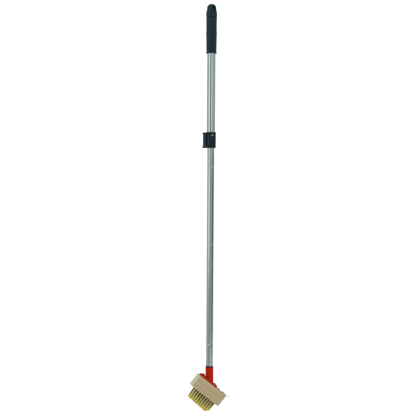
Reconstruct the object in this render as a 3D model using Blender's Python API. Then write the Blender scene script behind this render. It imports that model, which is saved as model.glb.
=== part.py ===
"""Telescopic wire weed brush.

A steel pole in telescopic and push-fit sections, a cam-lever clamp collar, a hanging cap, and an
inclined wooden brush block with wire tufts and a steel scraper tongue.

Frame: the origin is the centre of the hanging hole, on the pole's axis. +Z runs up the pole.
The brush block's long side lies in the XZ plane, with its upper end towards -X.
Sizes below are in millimetres and angles in degrees.
"""

import math

import bmesh
import bpy
from mathutils import Matrix, Vector

MM = 0.001
FIT_GAP = 0.3
MERGE = 1e-5
SHARP_ANGLE = 35.0
OVERSHOOT = 5.0

# Heights along the pole (z of the feature, downwards from the hanging hole)
CAP_TOP = 12.2
CAP_SEAT = -27.3
SLEEVE_END = -134.1
OUTER_TUBE_TOP = -29.3
OUTER_TUBE_END = -383.5
COLLAR_TOP = -368.1
COLLAR_END = -416.5
INNER_TUBE_TOP = -110.0
JOINT_1 = -470.2
JOINT_2 = -776.3
LOWER_END = -1089.4
SOCKET_TOP = -1094.0

# Tubes
OUTER_R = 12.5
OUTER_BORE = 11.8
INNER_R = 10.5
INNER_BORE = 9.8
SWAGE_R = 9.5
SWAGE_BORE = 8.8
SWAGE_LENGTH = 63.5
SWAGE_NOSE = 2.0
SWAGE_NOSE_STEP = 0.4
SHOULDER_DROP = 0.35
SHOULDER_LENGTH = 2.0
INNER_SHOULDER_LENGTH = 3.0
GROOVE_1 = -403.5
GROOVE_2 = -710.9
GROOVE_3 = -1021.2
GROOVE_DEPTH = 0.6
GROOVE_UPPER = 0.6
GROOVE_LOWER = 4.6
TUBE_SEGMENTS = 32
DIMPLE_HEIGHT = 15.8
DIMPLE_TURN = 20.0
DIMPLE_DEPTH = 0.55
DIMPLE_BALL_R = 7.0

# Guide bush on the telescoping tube's top end
BUSH_ABOVE_TUBE = 3.0
BUSH_BORE = 8.1
BUSH_R = 11.65
BUSH_SKIRT_BORE = 10.58
BUSH_SPIGOT_R = 9.7
BUSH_SKIRT = 25.0
BUSH_SPIGOT = 9.0
BUSH_CHAMFER = 0.5

# Hanging cap
CAP_SEGMENTS = 36
CAP_R = 16.6
CAP_RIM_CHAMFER = 0.7
DOME_R = 13.6
DOME_BASE = 1.0
DOME_STEPS = 9
FLARE_LENGTH = 18.0
FLARE_STEPS = 6
PLUG_R = 11.5
PLUG_END = -45.0
PLUG_CHAMFER = 1.5
HOLE_WIDTH = 10.5
HOLE_HEIGHT = 17.6
HOLE_TURN = 26.0
HOLE_MOUTH_FLARE = 1.4
HOLE_MOUTH_REACH = 22.0
HOLE_THROAT_REACH = 9.0
HOLE_STEPS = 8

# Grip sleeve
SLEEVE_TOP_R = 16.1
SLEEVE_WAIST_R = 15.75
SLEEVE_SWELL_R = 16.3
SLEEVE_FOOT_R = 15.25
SLEEVE_LIP_R = 16.2
SLEEVE_WAIST_Z = -62.0
SLEEVE_SWELL_START_Z = -65.0
SLEEVE_SWELL_START_RISE = 0.15
SLEEVE_SWELL_Z = (-71.5, -75.0)
SLEEVE_LIP_HEIGHT = 3.6
SLEEVE_LIP_SLOPE = 1.0
SLEEVE_CHAMFER = 0.6

# Clamp collar, lever and pad
COLLAR_R = 15.3
COLLAR_CROWN_STEP = 0.25
COLLAR_UPPER_BORE = OUTER_R + FIT_GAP
COLLAR_LOWER_BORE = INNER_R + FIT_GAP
COLLAR_SHOULDER = OUTER_TUBE_END - FIT_GAP
COLLAR_SEGMENTS = 44
PIN_X = -20.9
EAR_R = 5.6
EAR_TOP = COLLAR_TOP - 1.6
EAR_OVERLAP = 2.0
EAR_STEPS = 12
LEVER_TOP = -375.8
LEVER_END = -410.2
LEVER_CLEARANCE = 0.4
RECESS_R = 14.1
RECESS_START = 138.0
RECESS_BEYOND_PLATE = 2.5
RECESS_STEPS = 34
RECESS_OUTER_R = 27.3
PLATE_INNER_R = 14.4
PLATE_OUTER_R = 16.0
PLATE_START = 202.5
PLATE_ROOT = 198.5
PLATE_END = 294.5
PLATE_LIP_DEG = 2.0
PLATE_LIP_CHAMFER = 0.6
PLATE_STEPS = 22
LEVER_NECK = (-17.0, -4.4)
HUB_R = 3.8
HUB_STEPS = 10
HUB_RUN_IN_DEG = 10.0
CAM_R = 4.4
CAM_RISE_DEG = 115.0
CAM_DWELL_DEG = 25.0
CAM_STEPS = 14
FACET_NORMAL = 233.13
FACET_CORNER = (-17.6, -7.2)
RIDGE_SPACING = 11.0
RIDGE_SPAN = (226.0, 282.0)
RIDGE_RISE = 0.5
RIDGE_ROOT = 0.8
RIDGE_HALF = 0.8
RIDGE_STEPS = 16
PIN_R = 1.75
PIN_HOLE_R = 1.85
PIN_RECESS = 0.6
PIN_SEGMENTS = 24
WINDOW_TOP = -388.9
WINDOW_END = -402.9
WINDOW_HALF = 4.1
WINDOW_REACH = (-20.0, -8.0)
PAD_HALF = 3.8
PAD_STEPS = 8

# Head
HEAD_TILT = 40.4
HEAD_Z = -1143.0
BLOCK_LENGTH = 109.6
BLOCK_HEIGHT = 40.8
BLOCK_WIDTH = 30.5
BLOCK_UPPER_END = -42.9
BLOCK_LOWER_END = BLOCK_UPPER_END + BLOCK_LENGTH
BLOCK_EDGE = 0.8
FLANGE_CENTRE = -6.4
FLANGE_LENGTH = 71.8
FLANGE_WIDTH = 24.5
FLANGE_THICKNESS = 5.8
FLANGE_STEPS = 12
BOSS_R = 6.0
BOSSES = ((-31.4, 9.0), (17.8, 6.8))
BOSS_OVERLAP = 1.0
BOSS_SEGMENTS = 20
SOCKET_R = 12.3
SOCKET_BORE = 9.9
SOCKET_DEPTH = 31.0
SOCKET_RIM = 0.6
SOCKET_SEGMENTS = 40
FILLET_RUN = 2.6
FILLET_RISE = 2.6
FILLET_WIDTH_INSET = 0.15
SOCKET_STOCK_BELOW_HEAD = 40.0
SOCKET_FOOT_SINK = 0.4
TRIM_HALF_LENGTH = 90.0
TRIM_HALF_WIDTH = 60.0
SCREW_R = 1.9
SCREW_CLEARANCE = 0.35
SCREW_SEGMENTS = 16
SCREW_HOLE_SEGMENTS = 12
SCREW_POINT = 4.0
SCREW_HOLE_EXTRA = 1.0
SOCKET_SCREW_REACH = 18.0
SOCKET_SCREW_HEAD = (3.8, 1.5)
BLADE_SCREW_REACH = 14.0
BLADE_SCREW_HEAD = (3.4, 2.0)
PAN_HEAD = ((0.55, 1.0), (0.9, 0.7), (1.0, 0.25))
BLADE_START = 34.5
BLADE_END = 83.0
BLADE_WIDTH = 24.0
BLADE_TIP_WIDTH = 10.0
BLADE_THICKNESS = 1.2
BLADE_CORNER = 1.0
BLADE_TIP_CORNER = 2.0
BLADE_SCREWS = (39.4, 58.2)

# Threaded ferrule
FERRULE_SEGMENTS = 24
FERRULE_PLUG = 34.0
FERRULE_NOSE = 1.0
FERRULE_RING_R = 11.5
FERRULE_RING_CHAMFER = 0.4
FERRULE_NECK_R = 8.1
FERRULE_NECK_HALF = 4.0
FERRULE_NECK_SLOPE = 0.5
THREAD_ROOT_R = 8.4
THREAD_CREST_R = 9.4
THREAD_PITCH = 5.0
THREAD_TURNS = 5
THREAD_START = 1.5
THREAD_NOSE = 1.2
THREAD_NOSE_STEP = 1.0

# Wire tufts
TUFT_COLUMNS = 10
TUFT_ROWS = 3
TUFT_FIRST = 16.5
TUFT_PITCH = 9.05
TUFT_ROW_PITCH = 7.2
TUFT_HOLE_R = 2.5
TUFT_HOLE_DEPTH = 13.0
TUFT_HOLE_SEGMENTS = 12
TUFT_ROOT_R = 2.15
TUFT_TIP_R = 3.1
TUFT_TIP_CHAMFER = 1.0
TUFT_STRAIGHT = 2.0
TUFT_SIDES = 10
TUFT_EXPOSED = (34.1, 33.9, 34.5, 35.6, 35.9, 36.3, 37.1, 37.8, 36.4, 29.8)
TUFT_LEAN = (3.2, 1.2, 0.5, 0.2, 0.0, -0.3, -0.7, -1.4, -2.6, -5.0)

GRIP_BLACK = ((0.045, 0.062, 0.07), 0.45, 0.0)
COLLAR_BLACK = ((0.03, 0.042, 0.047), 0.38, 0.0)
STEEL = ((0.62, 0.66, 0.65), 0.25, 1.0)
SCREW_STEEL = ((0.5, 0.52, 0.5), 0.35, 1.0)
WHITE_NYLON = ((0.78, 0.78, 0.74), 0.5, 0.0)
SOCKET_RED = ((0.4, 0.02, 0.003), 0.35, 0.0)
WOOD = ((0.45, 0.35, 0.2), 0.7, 0.0)
BRASS_WIRE = ((0.48, 0.42, 0.09), 0.35, 1.0)


def clear_scene():
    for obj in list(bpy.data.objects):
        bpy.data.objects.remove(obj, do_unlink=True)


def material(name, look):
    colour, roughness, metallic = look
    mat = bpy.data.materials.new(name)
    mat.use_nodes = True
    shader = mat.node_tree.nodes["Principled BSDF"]
    shader.inputs["Base Color"].default_value = (*colour, 1.0)
    shader.inputs["Roughness"].default_value = roughness
    shader.inputs["Metallic"].default_value = metallic
    return mat


def add_object(name, bm, look=None):
    """Turn a bmesh in millimetres into a named object in metres."""
    bmesh.ops.remove_doubles(bm, verts=bm.verts, dist=MERGE)
    bmesh.ops.recalc_face_normals(bm, faces=bm.faces)
    bmesh.ops.scale(bm, vec=(MM, MM, MM), verts=bm.verts)
    mesh = bpy.data.meshes.new(name)
    bm.to_mesh(mesh)
    bm.free()
    mesh.shade_smooth()
    mesh.set_sharp_from_angle(angle=math.radians(SHARP_ANGLE))
    obj = bpy.data.objects.new(name, mesh)
    bpy.context.scene.collection.objects.link(obj)
    if look is not None:
        mesh.materials.append(material(name, look))
    return obj


def combine(obj, tool, operation):
    """Apply a Boolean of a temporary tool object, which is then removed."""
    modifier = obj.modifiers.new(operation.lower(), "BOOLEAN")
    modifier.operation = operation
    modifier.solver = "EXACT"
    modifier.object = tool
    bpy.context.view_layer.update()
    evaluated = obj.evaluated_get(bpy.context.evaluated_depsgraph_get())
    mesh = bpy.data.meshes.new_from_object(evaluated)
    obj.modifiers.remove(modifier)
    obj.data = mesh
    bpy.data.objects.remove(tool, do_unlink=True)


def cut(obj, tool_bm):
    combine(obj, add_object("cutter", tool_bm), "DIFFERENCE")


def join(obj, tool_bm):
    combine(obj, add_object("addition", tool_bm), "UNION")


def set_origin(obj, point):
    """Move an object's origin to a point in millimetres and keep its shape in place."""
    offset = Vector(point) * MM
    obj.data.transform(Matrix.Translation(-offset))
    obj.location = offset


def spun(profile, segments, closed=True):
    """Spin an (r, z) outline round the Z axis. An open outline ends on the axis at both ends."""
    bm = bmesh.new()
    verts = [bm.verts.new((r, 0.0, z)) for r, z in profile]
    edges = [bm.edges.new(pair) for pair in zip(verts, verts[1:])]
    if closed:
        edges.append(bm.edges.new((verts[-1], verts[0])))
    bmesh.ops.spin(
        bm, geom=verts + edges, cent=(0, 0, 0), axis=(0, 0, 1),
        angle=math.tau, steps=segments, use_merge=True,
    )
    bmesh.ops.remove_doubles(bm, verts=bm.verts, dist=MERGE)
    return bm


def extruded(outline, z_low, z_high):
    """Extrude a closed (x, y) outline between two heights."""
    bm = bmesh.new()
    face = bm.faces.new([bm.verts.new((x, y, z_low)) for x, y in outline])
    raised = bmesh.ops.extrude_face_region(bm, geom=[face])["geom"]
    moved = [item for item in raised if isinstance(item, bmesh.types.BMVert)]
    bmesh.ops.translate(bm, vec=(0, 0, z_high - z_low), verts=moved)
    return bm


def cylinder(radius, z_low, z_high, segments, centre=(0.0, 0.0)):
    outline = arc(centre, radius, 0.0, 360.0 - 360.0 / segments, segments - 1)
    return extruded(outline, z_low, z_high)


def arc(centre, radius, start, end, steps):
    """Points on an arc from one angle to another, both included."""
    points = []
    for k in range(steps + 1):
        angle = math.radians(start + (end - start) * k / steps)
        points.append((centre[0] + radius * math.cos(angle), centre[1] + radius * math.sin(angle)))
    return points


def polar(radius, degrees):
    return (radius * math.cos(math.radians(degrees)), radius * math.sin(math.radians(degrees)))


def smoothstep(t):
    t = min(max(t, 0.0), 1.0)
    return t * t * (3.0 - 2.0 * t)


# --- grip end -----------------------------------------------------------------------------------

def cap_outline():
    dome_height = CAP_TOP - DOME_BASE
    points = []
    for k in range(DOME_STEPS + 1):
        angle = 0.5 * math.pi * (1.0 - k / DOME_STEPS)
        points.append((DOME_R * math.cos(angle) * (k > 0), DOME_BASE + dome_height * math.sin(angle)))
    for k in range(1, FLARE_STEPS + 1):
        t = k / FLARE_STEPS
        radius = DOME_R + (CAP_R - DOME_R) * smoothstep(t)
        points.append((radius, DOME_BASE - FLARE_LENGTH * t))
    points += [(CAP_R, CAP_SEAT + CAP_RIM_CHAMFER), (CAP_R - CAP_RIM_CHAMFER, CAP_SEAT)]
    points += [(PLUG_R, CAP_SEAT), (PLUG_R, PLUG_END + PLUG_CHAMFER)]
    points += [(PLUG_R - PLUG_CHAMFER, PLUG_END), (0.0, PLUG_END)]
    return points


def hole_cutter():
    """A long hole whose mouths flare, turned about the pole's axis."""
    half = 0.5 * HOLE_WIDTH
    straight = 0.5 * HOLE_HEIGHT - half
    stations = (
        (-HOLE_MOUTH_REACH, HOLE_MOUTH_FLARE), (-HOLE_THROAT_REACH, 1.0),
        (HOLE_THROAT_REACH, 1.0), (HOLE_MOUTH_REACH, HOLE_MOUTH_FLARE),
    )
    bm = bmesh.new()
    rings = []
    for distance, scale in stations:
        upper = arc((0.0, straight), half, 0.0, 180.0, HOLE_STEPS)
        lower = arc((0.0, -straight), half, 180.0, 360.0, HOLE_STEPS)
        rings.append([bm.verts.new((x * scale, distance, z * scale)) for x, z in upper + lower])
    for near, far in zip(rings, rings[1:]):
        for k in range(len(near)):
            following = (k + 1) % len(near)
            bm.faces.new((near[k], near[following], far[following], far[k]))
    bm.faces.new(rings[0])
    bm.faces.new(rings[-1])
    turn = Matrix.Rotation(math.radians(HOLE_TURN), 3, "Z")
    bmesh.ops.rotate(bm, cent=(0, 0, 0), matrix=turn, verts=bm.verts)
    return bm


def build_cap():
    cap = add_object("hang_cap", spun(cap_outline(), CAP_SEGMENTS, closed=False), GRIP_BLACK)
    cut(cap, hole_cutter())


def build_sleeve():
    top = CAP_SEAT - FIT_GAP
    bore = OUTER_R + FIT_GAP
    swell_top, swell_end = SLEEVE_SWELL_Z
    lip_top = SLEEVE_END + SLEEVE_LIP_HEIGHT
    profile = [
        (bore, top), (SLEEVE_TOP_R - SLEEVE_CHAMFER, top), (SLEEVE_TOP_R, top - SLEEVE_CHAMFER),
        (SLEEVE_WAIST_R, SLEEVE_WAIST_Z),
        (SLEEVE_WAIST_R + SLEEVE_SWELL_START_RISE, SLEEVE_SWELL_START_Z),
        (SLEEVE_SWELL_R, swell_top), (SLEEVE_SWELL_R, swell_end),
        (SLEEVE_FOOT_R, lip_top + SLEEVE_LIP_SLOPE), (SLEEVE_LIP_R, lip_top),
        (SLEEVE_LIP_R, SLEEVE_END + SLEEVE_CHAMFER), (SLEEVE_LIP_R - SLEEVE_CHAMFER, SLEEVE_END),
        (bore, SLEEVE_END),
    ]
    add_object("grip_sleeve", spun(profile, TUBE_SEGMENTS), GRIP_BLACK)


# --- tubes --------------------------------------------------------------------------------------

def build_outer_tube():
    profile = [
        (OUTER_BORE, OUTER_TUBE_TOP), (OUTER_R, OUTER_TUBE_TOP),
        (OUTER_R, OUTER_TUBE_END), (OUTER_BORE, OUTER_TUBE_END),
    ]
    add_object("outer_tube", spun(profile, TUBE_SEGMENTS), STEEL)


def groove(radius, middle):
    """A shallow crimped groove with a long lower flank, as outline points from top to bottom."""
    floor = middle + 0.5 * GROOVE_LOWER
    return [(radius, floor + GROOVE_UPPER), (radius - GROOVE_DEPTH, floor), (radius, floor - GROOVE_LOWER)]


def section_profile(joint_above, groove_z, end):
    """A pole section: a swaged male end above its shoulder, then the full tube with its groove."""
    outside = []
    inside = []
    if joint_above is None:
        outside.append((INNER_R, INNER_TUBE_TOP))
        inside.append((INNER_BORE, INNER_TUBE_TOP))
    else:
        shoulder = joint_above - 0.5 * FIT_GAP
        nose = shoulder + SWAGE_LENGTH
        outside += [(SWAGE_R - SWAGE_NOSE_STEP, nose), (SWAGE_R, nose - SWAGE_NOSE), (SWAGE_R, shoulder)]
        outside += [(INNER_R - SHOULDER_DROP, shoulder), (INNER_R, shoulder - SHOULDER_LENGTH)]
        inside += [(SWAGE_BORE - SWAGE_NOSE_STEP, nose), (SWAGE_BORE, nose - SWAGE_NOSE)]
        inside += [(SWAGE_BORE, shoulder - SHOULDER_LENGTH), (INNER_BORE, shoulder - INNER_SHOULDER_LENGTH)]
    outside += groove(INNER_R, groove_z)
    inside += groove(INNER_BORE, groove_z)
    outside.append((INNER_R, end))
    inside.append((INNER_BORE, end))
    return outside + inside[::-1]


def build_pole_sections():
    inner_profile = section_profile(None, GROOVE_1, JOINT_1 + 0.5 * FIT_GAP)
    add_object("inner_tube", spun(inner_profile, TUBE_SEGMENTS), STEEL)
    middle_profile = section_profile(JOINT_1, GROOVE_2, JOINT_2 + 0.5 * FIT_GAP)
    add_object("middle_section", spun(middle_profile, TUBE_SEGMENTS), STEEL)
    lower_profile = section_profile(JOINT_2, GROOVE_3, LOWER_END)
    lower = add_object("lower_section", spun(lower_profile, TUBE_SEGMENTS), STEEL)
    cut(lower, dimple_cutter())


def dimple_cutter():
    """A ball that marks the tube's outside where it is punched onto the ferrule."""
    angle = math.radians(-90.0 + DIMPLE_TURN)
    reach = INNER_R - DIMPLE_DEPTH + DIMPLE_BALL_R
    centre = (reach * math.cos(angle), reach * math.sin(angle), LOWER_END + DIMPLE_HEIGHT)
    bm = bmesh.new()
    bmesh.ops.create_icosphere(bm, subdivisions=2, radius=DIMPLE_BALL_R)
    bmesh.ops.translate(bm, vec=centre, verts=bm.verts)
    return bm


def build_guide_bush():
    """A plastic ring over the inner tube's top end, with a skirt outside and a spigot inside it."""
    top = INNER_TUBE_TOP + BUSH_ABOVE_TUBE
    skirt_end = INNER_TUBE_TOP - BUSH_SKIRT
    seat = INNER_TUBE_TOP + FIT_GAP
    spigot_end = INNER_TUBE_TOP - BUSH_SPIGOT
    profile = [
        (BUSH_BORE, top), (BUSH_R - BUSH_CHAMFER, top), (BUSH_R, top - BUSH_CHAMFER), (BUSH_R, skirt_end),
        (BUSH_SKIRT_BORE, skirt_end), (BUSH_SKIRT_BORE, seat), (BUSH_SPIGOT_R, seat),
        (BUSH_SPIGOT_R, spigot_end), (BUSH_BORE, spigot_end - BUSH_CHAMFER),
    ]
    add_object("guide_bush", spun(profile, TUBE_SEGMENTS), WHITE_NYLON)


# --- clamp --------------------------------------------------------------------------------------

def ear_outline():
    """The collar's plan: its round body joined by tangent lines to the ear round the pin."""
    tangent = math.degrees(math.acos((COLLAR_R - EAR_R) / -PIN_X))
    body = arc((0.0, 0.0), COLLAR_R, -180.0 + tangent, 180.0 - tangent, COLLAR_SEGMENTS)
    ear = arc((PIN_X, 0.0), EAR_R, 180.0 - tangent, 180.0 + tangent, EAR_STEPS)
    return body + ear


def recess_outline():
    """The pocket for the lever: a ring sector under its plate and the room between the ears."""
    finish = PLATE_END + RECESS_BEYOND_PLATE
    floor = arc((0.0, 0.0), RECESS_R, RECESS_START, finish, RECESS_STEPS)
    outer = arc((0.0, 0.0), RECESS_OUTER_R, finish, RECESS_START, RECESS_STEPS)
    return floor + outer


def build_collar():
    collar = add_object("collar_body", extruded(ear_outline(), COLLAR_END, EAR_TOP), COLLAR_BLACK)
    crown_r = COLLAR_R - COLLAR_CROWN_STEP
    join(collar, cylinder(crown_r, EAR_TOP - EAR_OVERLAP, COLLAR_TOP, COLLAR_SEGMENTS))
    low = LEVER_END - LEVER_CLEARANCE
    high = LEVER_TOP + LEVER_CLEARANCE
    cut(collar, extruded(recess_outline(), low, high))
    above = COLLAR_TOP + OVERSHOOT
    below = COLLAR_END - OVERSHOOT
    cut(collar, spun([
        (0.0, above), (COLLAR_UPPER_BORE, above), (COLLAR_UPPER_BORE, COLLAR_SHOULDER),
        (COLLAR_LOWER_BORE, COLLAR_SHOULDER), (COLLAR_LOWER_BORE, below), (0.0, below),
    ], TUBE_SEGMENTS, closed=False))
    far, near = WINDOW_REACH
    window = [(far, -WINDOW_HALF), (near, -WINDOW_HALF), (near, WINDOW_HALF), (far, WINDOW_HALF)]
    cut(collar, extruded(window, WINDOW_END, WINDOW_TOP))
    cut(collar, cylinder(PIN_R + FIT_GAP, below, above, PIN_SEGMENTS, (PIN_X, 0.0)))


def lever_outline():
    """The lever's plan: cam and hub round the pin, a flat thumb facet and the wrapping plate."""
    pin = (PIN_X, 0.0)
    pole = (0.0, 0.0)
    points = []
    for k in range(CAM_STEPS + 1):
        t = k / CAM_STEPS
        radius = CAM_R + (HUB_R - CAM_R) * t
        angle = math.radians(CAM_RISE_DEG * t)
        points.append((PIN_X + radius * math.cos(angle), radius * math.sin(angle)))
    points += arc(pin, HUB_R, CAM_RISE_DEG + HUB_RUN_IN_DEG, FACET_NORMAL, HUB_STEPS)
    points.append(FACET_CORNER)
    points += arc(pole, PLATE_OUTER_R, PLATE_START, PLATE_END - PLATE_LIP_DEG, PLATE_STEPS)
    points.append(polar(PLATE_OUTER_R - PLATE_LIP_CHAMFER, PLATE_END))
    points += arc(pole, PLATE_INNER_R, PLATE_END, PLATE_ROOT, PLATE_STEPS)
    points.append(LEVER_NECK)
    points += arc(pin, CAM_R, -CAM_DWELL_DEG - HUB_RUN_IN_DEG, -CAM_RISE_DEG / CAM_STEPS, 3)
    return points


def build_lever():
    middle = 0.5 * (LEVER_TOP + LEVER_END)
    lever = add_object("cam_lever", extruded(lever_outline(), LEVER_END, LEVER_TOP), COLLAR_BLACK)
    start, finish = RIDGE_SPAN
    for side in (-1, 0, 1):
        height = middle + side * RIDGE_SPACING
        ridge = arc((0.0, 0.0), PLATE_OUTER_R + RIDGE_RISE, start, finish, RIDGE_STEPS)
        ridge += arc((0.0, 0.0), PLATE_OUTER_R - RIDGE_ROOT, finish, start, RIDGE_STEPS)
        join(lever, extruded(ridge, height - RIDGE_HALF, height + RIDGE_HALF))
    hole = cylinder(PIN_HOLE_R, LEVER_END - OVERSHOOT, LEVER_TOP + OVERSHOOT, PIN_SEGMENTS, (PIN_X, 0.0))
    cut(lever, hole)
    set_origin(lever, (PIN_X, 0.0, middle))


def build_lever_pin():
    pin = cylinder(PIN_R, COLLAR_END + PIN_RECESS, EAR_TOP - PIN_RECESS, PIN_SEGMENTS, (PIN_X, 0.0))
    add_object("lever_pin", pin, SCREW_STEEL)


def build_pad():
    """The pad between cam and tube: flat towards the cam, hollowed towards the tube."""
    reach = PIN_X + CAM_R + FIT_GAP
    span = math.degrees(math.asin(PAD_HALF / COLLAR_LOWER_BORE))
    hollow = arc((0.0, 0.0), COLLAR_LOWER_BORE, 180.0 + span, 180.0 - span, PAD_STEPS)
    outline = [(reach, PAD_HALF), (reach, -PAD_HALF)] + hollow
    add_object("pressure_pad", extruded(outline, WINDOW_END + FIT_GAP, WINDOW_TOP - FIT_GAP), WHITE_NYLON)


# --- head ---------------------------------------------------------------------------------------

def head_matrix():
    """Local x runs down the block's top face, local z out of that face, from the pole's axis."""
    return Matrix.Translation((0.0, 0.0, HEAD_Z)) @ Matrix.Rotation(math.radians(HEAD_TILT), 4, "Y")


def on_head(bm):
    bmesh.ops.transform(bm, matrix=head_matrix(), verts=bm.verts)
    return bm


def screw_hole(x, radius, low, high):
    return on_head(cylinder(radius, low, high, SCREW_HOLE_SEGMENTS, (x, 0.0)))


def build_block():
    half = 0.5 * BLOCK_WIDTH
    corners = [(BLOCK_UPPER_END, -half), (BLOCK_LOWER_END, -half)]
    corners += [(BLOCK_LOWER_END, half), (BLOCK_UPPER_END, half)]
    bm = extruded(corners, -BLOCK_HEIGHT, 0.0)
    bmesh.ops.bevel(bm, geom=bm.edges[:], offset=BLOCK_EDGE, segments=2, affect="EDGES", profile=0.5)
    block = add_object("brush_block", on_head(bm), WOOD)
    bottom = -BLOCK_HEIGHT - OVERSHOOT
    for row in range(TUFT_ROWS):
        for column in range(TUFT_COLUMNS):
            place = tuft_place(row, column)
            top = -BLOCK_HEIGHT + TUFT_HOLE_DEPTH
            cut(block, on_head(cylinder(TUFT_HOLE_R, bottom, top, TUFT_HOLE_SEGMENTS, place)))
    for x, _ in BOSSES:
        cut(block, screw_hole(x, SCREW_R + FIT_GAP, -SOCKET_SCREW_REACH - SCREW_HOLE_EXTRA, OVERSHOOT))
    for x in BLADE_SCREWS:
        cut(block, screw_hole(x, SCREW_R + FIT_GAP, -BLADE_SCREW_REACH - SCREW_HOLE_EXTRA, OVERSHOOT))


def flange_outline():
    half_run = 0.5 * (FLANGE_LENGTH - FLANGE_WIDTH)
    radius = 0.5 * FLANGE_WIDTH
    right = arc((FLANGE_CENTRE + half_run, 0.0), radius, -90.0, 90.0, FLANGE_STEPS)
    left = arc((FLANGE_CENTRE - half_run, 0.0), radius, 90.0, 270.0, FLANGE_STEPS)
    return right + left


def socket_fillet():
    """The thickening round the socket's foot: an oval that leans and narrows like the socket."""
    slope = math.tan(math.radians(HEAD_TILT))
    half_run = SOCKET_R / math.cos(math.radians(HEAD_TILT))
    half_width = SOCKET_R - FILLET_WIDTH_INSET
    low = FLANGE_THICKNESS - BOSS_OVERLAP
    high = FLANGE_THICKNESS + FILLET_RISE
    growth = FILLET_RUN * (high - low) / FILLET_RISE
    bm = bmesh.new()
    rings = []
    for height, run in ((low, half_run + growth), (high, half_run)):
        ring = arc((0.0, 0.0), 1.0, 0.0, 360.0 - 360.0 / SOCKET_SEGMENTS, SOCKET_SEGMENTS - 1)
        rings.append([bm.verts.new((x * run - height * slope, y * half_width, height)) for x, y in ring])
    for k in range(SOCKET_SEGMENTS):
        following = (k + 1) % SOCKET_SEGMENTS
        bm.faces.new((rings[0][k], rings[0][following], rings[1][following], rings[1][k]))
    bm.faces.new(rings[0])
    bm.faces.new(rings[1])
    return on_head(bm)


def build_socket():
    foot = HEAD_Z - SOCKET_STOCK_BELOW_HEAD
    socket = add_object("head_socket", spun([
        (0.0, SOCKET_TOP), (SOCKET_R - SOCKET_RIM, SOCKET_TOP), (SOCKET_R, SOCKET_TOP - SOCKET_RIM),
        (SOCKET_R, foot), (0.0, foot),
    ], SOCKET_SEGMENTS, closed=False), SOCKET_RED)
    below = [(-TRIM_HALF_LENGTH, -TRIM_HALF_WIDTH), (TRIM_HALF_LENGTH, -TRIM_HALF_WIDTH)]
    below += [(TRIM_HALF_LENGTH, TRIM_HALF_WIDTH), (-TRIM_HALF_LENGTH, TRIM_HALF_WIDTH)]
    cut(socket, on_head(extruded(below, -TRIM_HALF_LENGTH, FIT_GAP + SOCKET_FOOT_SINK)))
    join(socket, on_head(extruded(flange_outline(), FIT_GAP, FLANGE_THICKNESS)))
    join(socket, socket_fillet())
    for x, height in BOSSES:
        boss = cylinder(BOSS_R, FLANGE_THICKNESS - BOSS_OVERLAP, height, BOSS_SEGMENTS, (x, 0.0))
        join(socket, on_head(boss))
        cut(socket, screw_hole(x, SCREW_R + SCREW_CLEARANCE, -OVERSHOOT, height + OVERSHOOT))
    cut(socket, cylinder(SOCKET_BORE, SOCKET_TOP - SOCKET_DEPTH, SOCKET_TOP + OVERSHOOT, TUBE_SEGMENTS))


def screw_profile(seat, reach, head):
    """A pan-head wood screw, as an outline from its head's top to its point."""
    radius, height = head
    dome = [(share * radius, seat + level * height) for share, level in PAN_HEAD]
    shank = [(SCREW_R, seat), (SCREW_R, -reach + SCREW_POINT), (0.0, -reach)]
    return [(0.0, seat + height)] + dome + [(radius, seat)] + shank


def build_screws():
    (upper_x, upper_height), (lower_x, lower_height) = BOSSES
    blade_seat = BLADE_THICKNESS + 2.0 * FIT_GAP
    screws = (
        ("socket_screw_upper", upper_x, upper_height + FIT_GAP, SOCKET_SCREW_REACH, SOCKET_SCREW_HEAD),
        ("socket_screw_lower", lower_x, lower_height + FIT_GAP, SOCKET_SCREW_REACH, SOCKET_SCREW_HEAD),
        ("scraper_screw_inner", BLADE_SCREWS[0], blade_seat, BLADE_SCREW_REACH, BLADE_SCREW_HEAD),
        ("scraper_screw_outer", BLADE_SCREWS[1], blade_seat, BLADE_SCREW_REACH, BLADE_SCREW_HEAD),
    )
    for name, x, seat, reach, head in screws:
        bm = spun(screw_profile(seat, reach, head), SCREW_SEGMENTS, closed=False)
        bmesh.ops.translate(bm, vec=(x, 0.0, 0.0), verts=bm.verts)
        add_object(name, on_head(bm), SCREW_STEEL)


def build_blade():
    half = 0.5 * BLADE_WIDTH
    tip = 0.5 * BLADE_TIP_WIDTH
    shoulder = BLADE_END - BLADE_TIP_CORNER
    side = [(BLADE_START, half - BLADE_CORNER), (BLADE_START + BLADE_CORNER, half)]
    side += [(BLOCK_LOWER_END, half), (shoulder, tip), (BLADE_END, tip - BLADE_TIP_CORNER)]
    outline = side + [(x, -y) for x, y in reversed(side)]
    bm = extruded(outline, FIT_GAP, FIT_GAP + BLADE_THICKNESS)
    blade = add_object("scraper_blade", on_head(bm), STEEL)
    for x in BLADE_SCREWS:
        cut(blade, screw_hole(x, SCREW_R + SCREW_CLEARANCE, -OVERSHOOT, OVERSHOOT))


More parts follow.
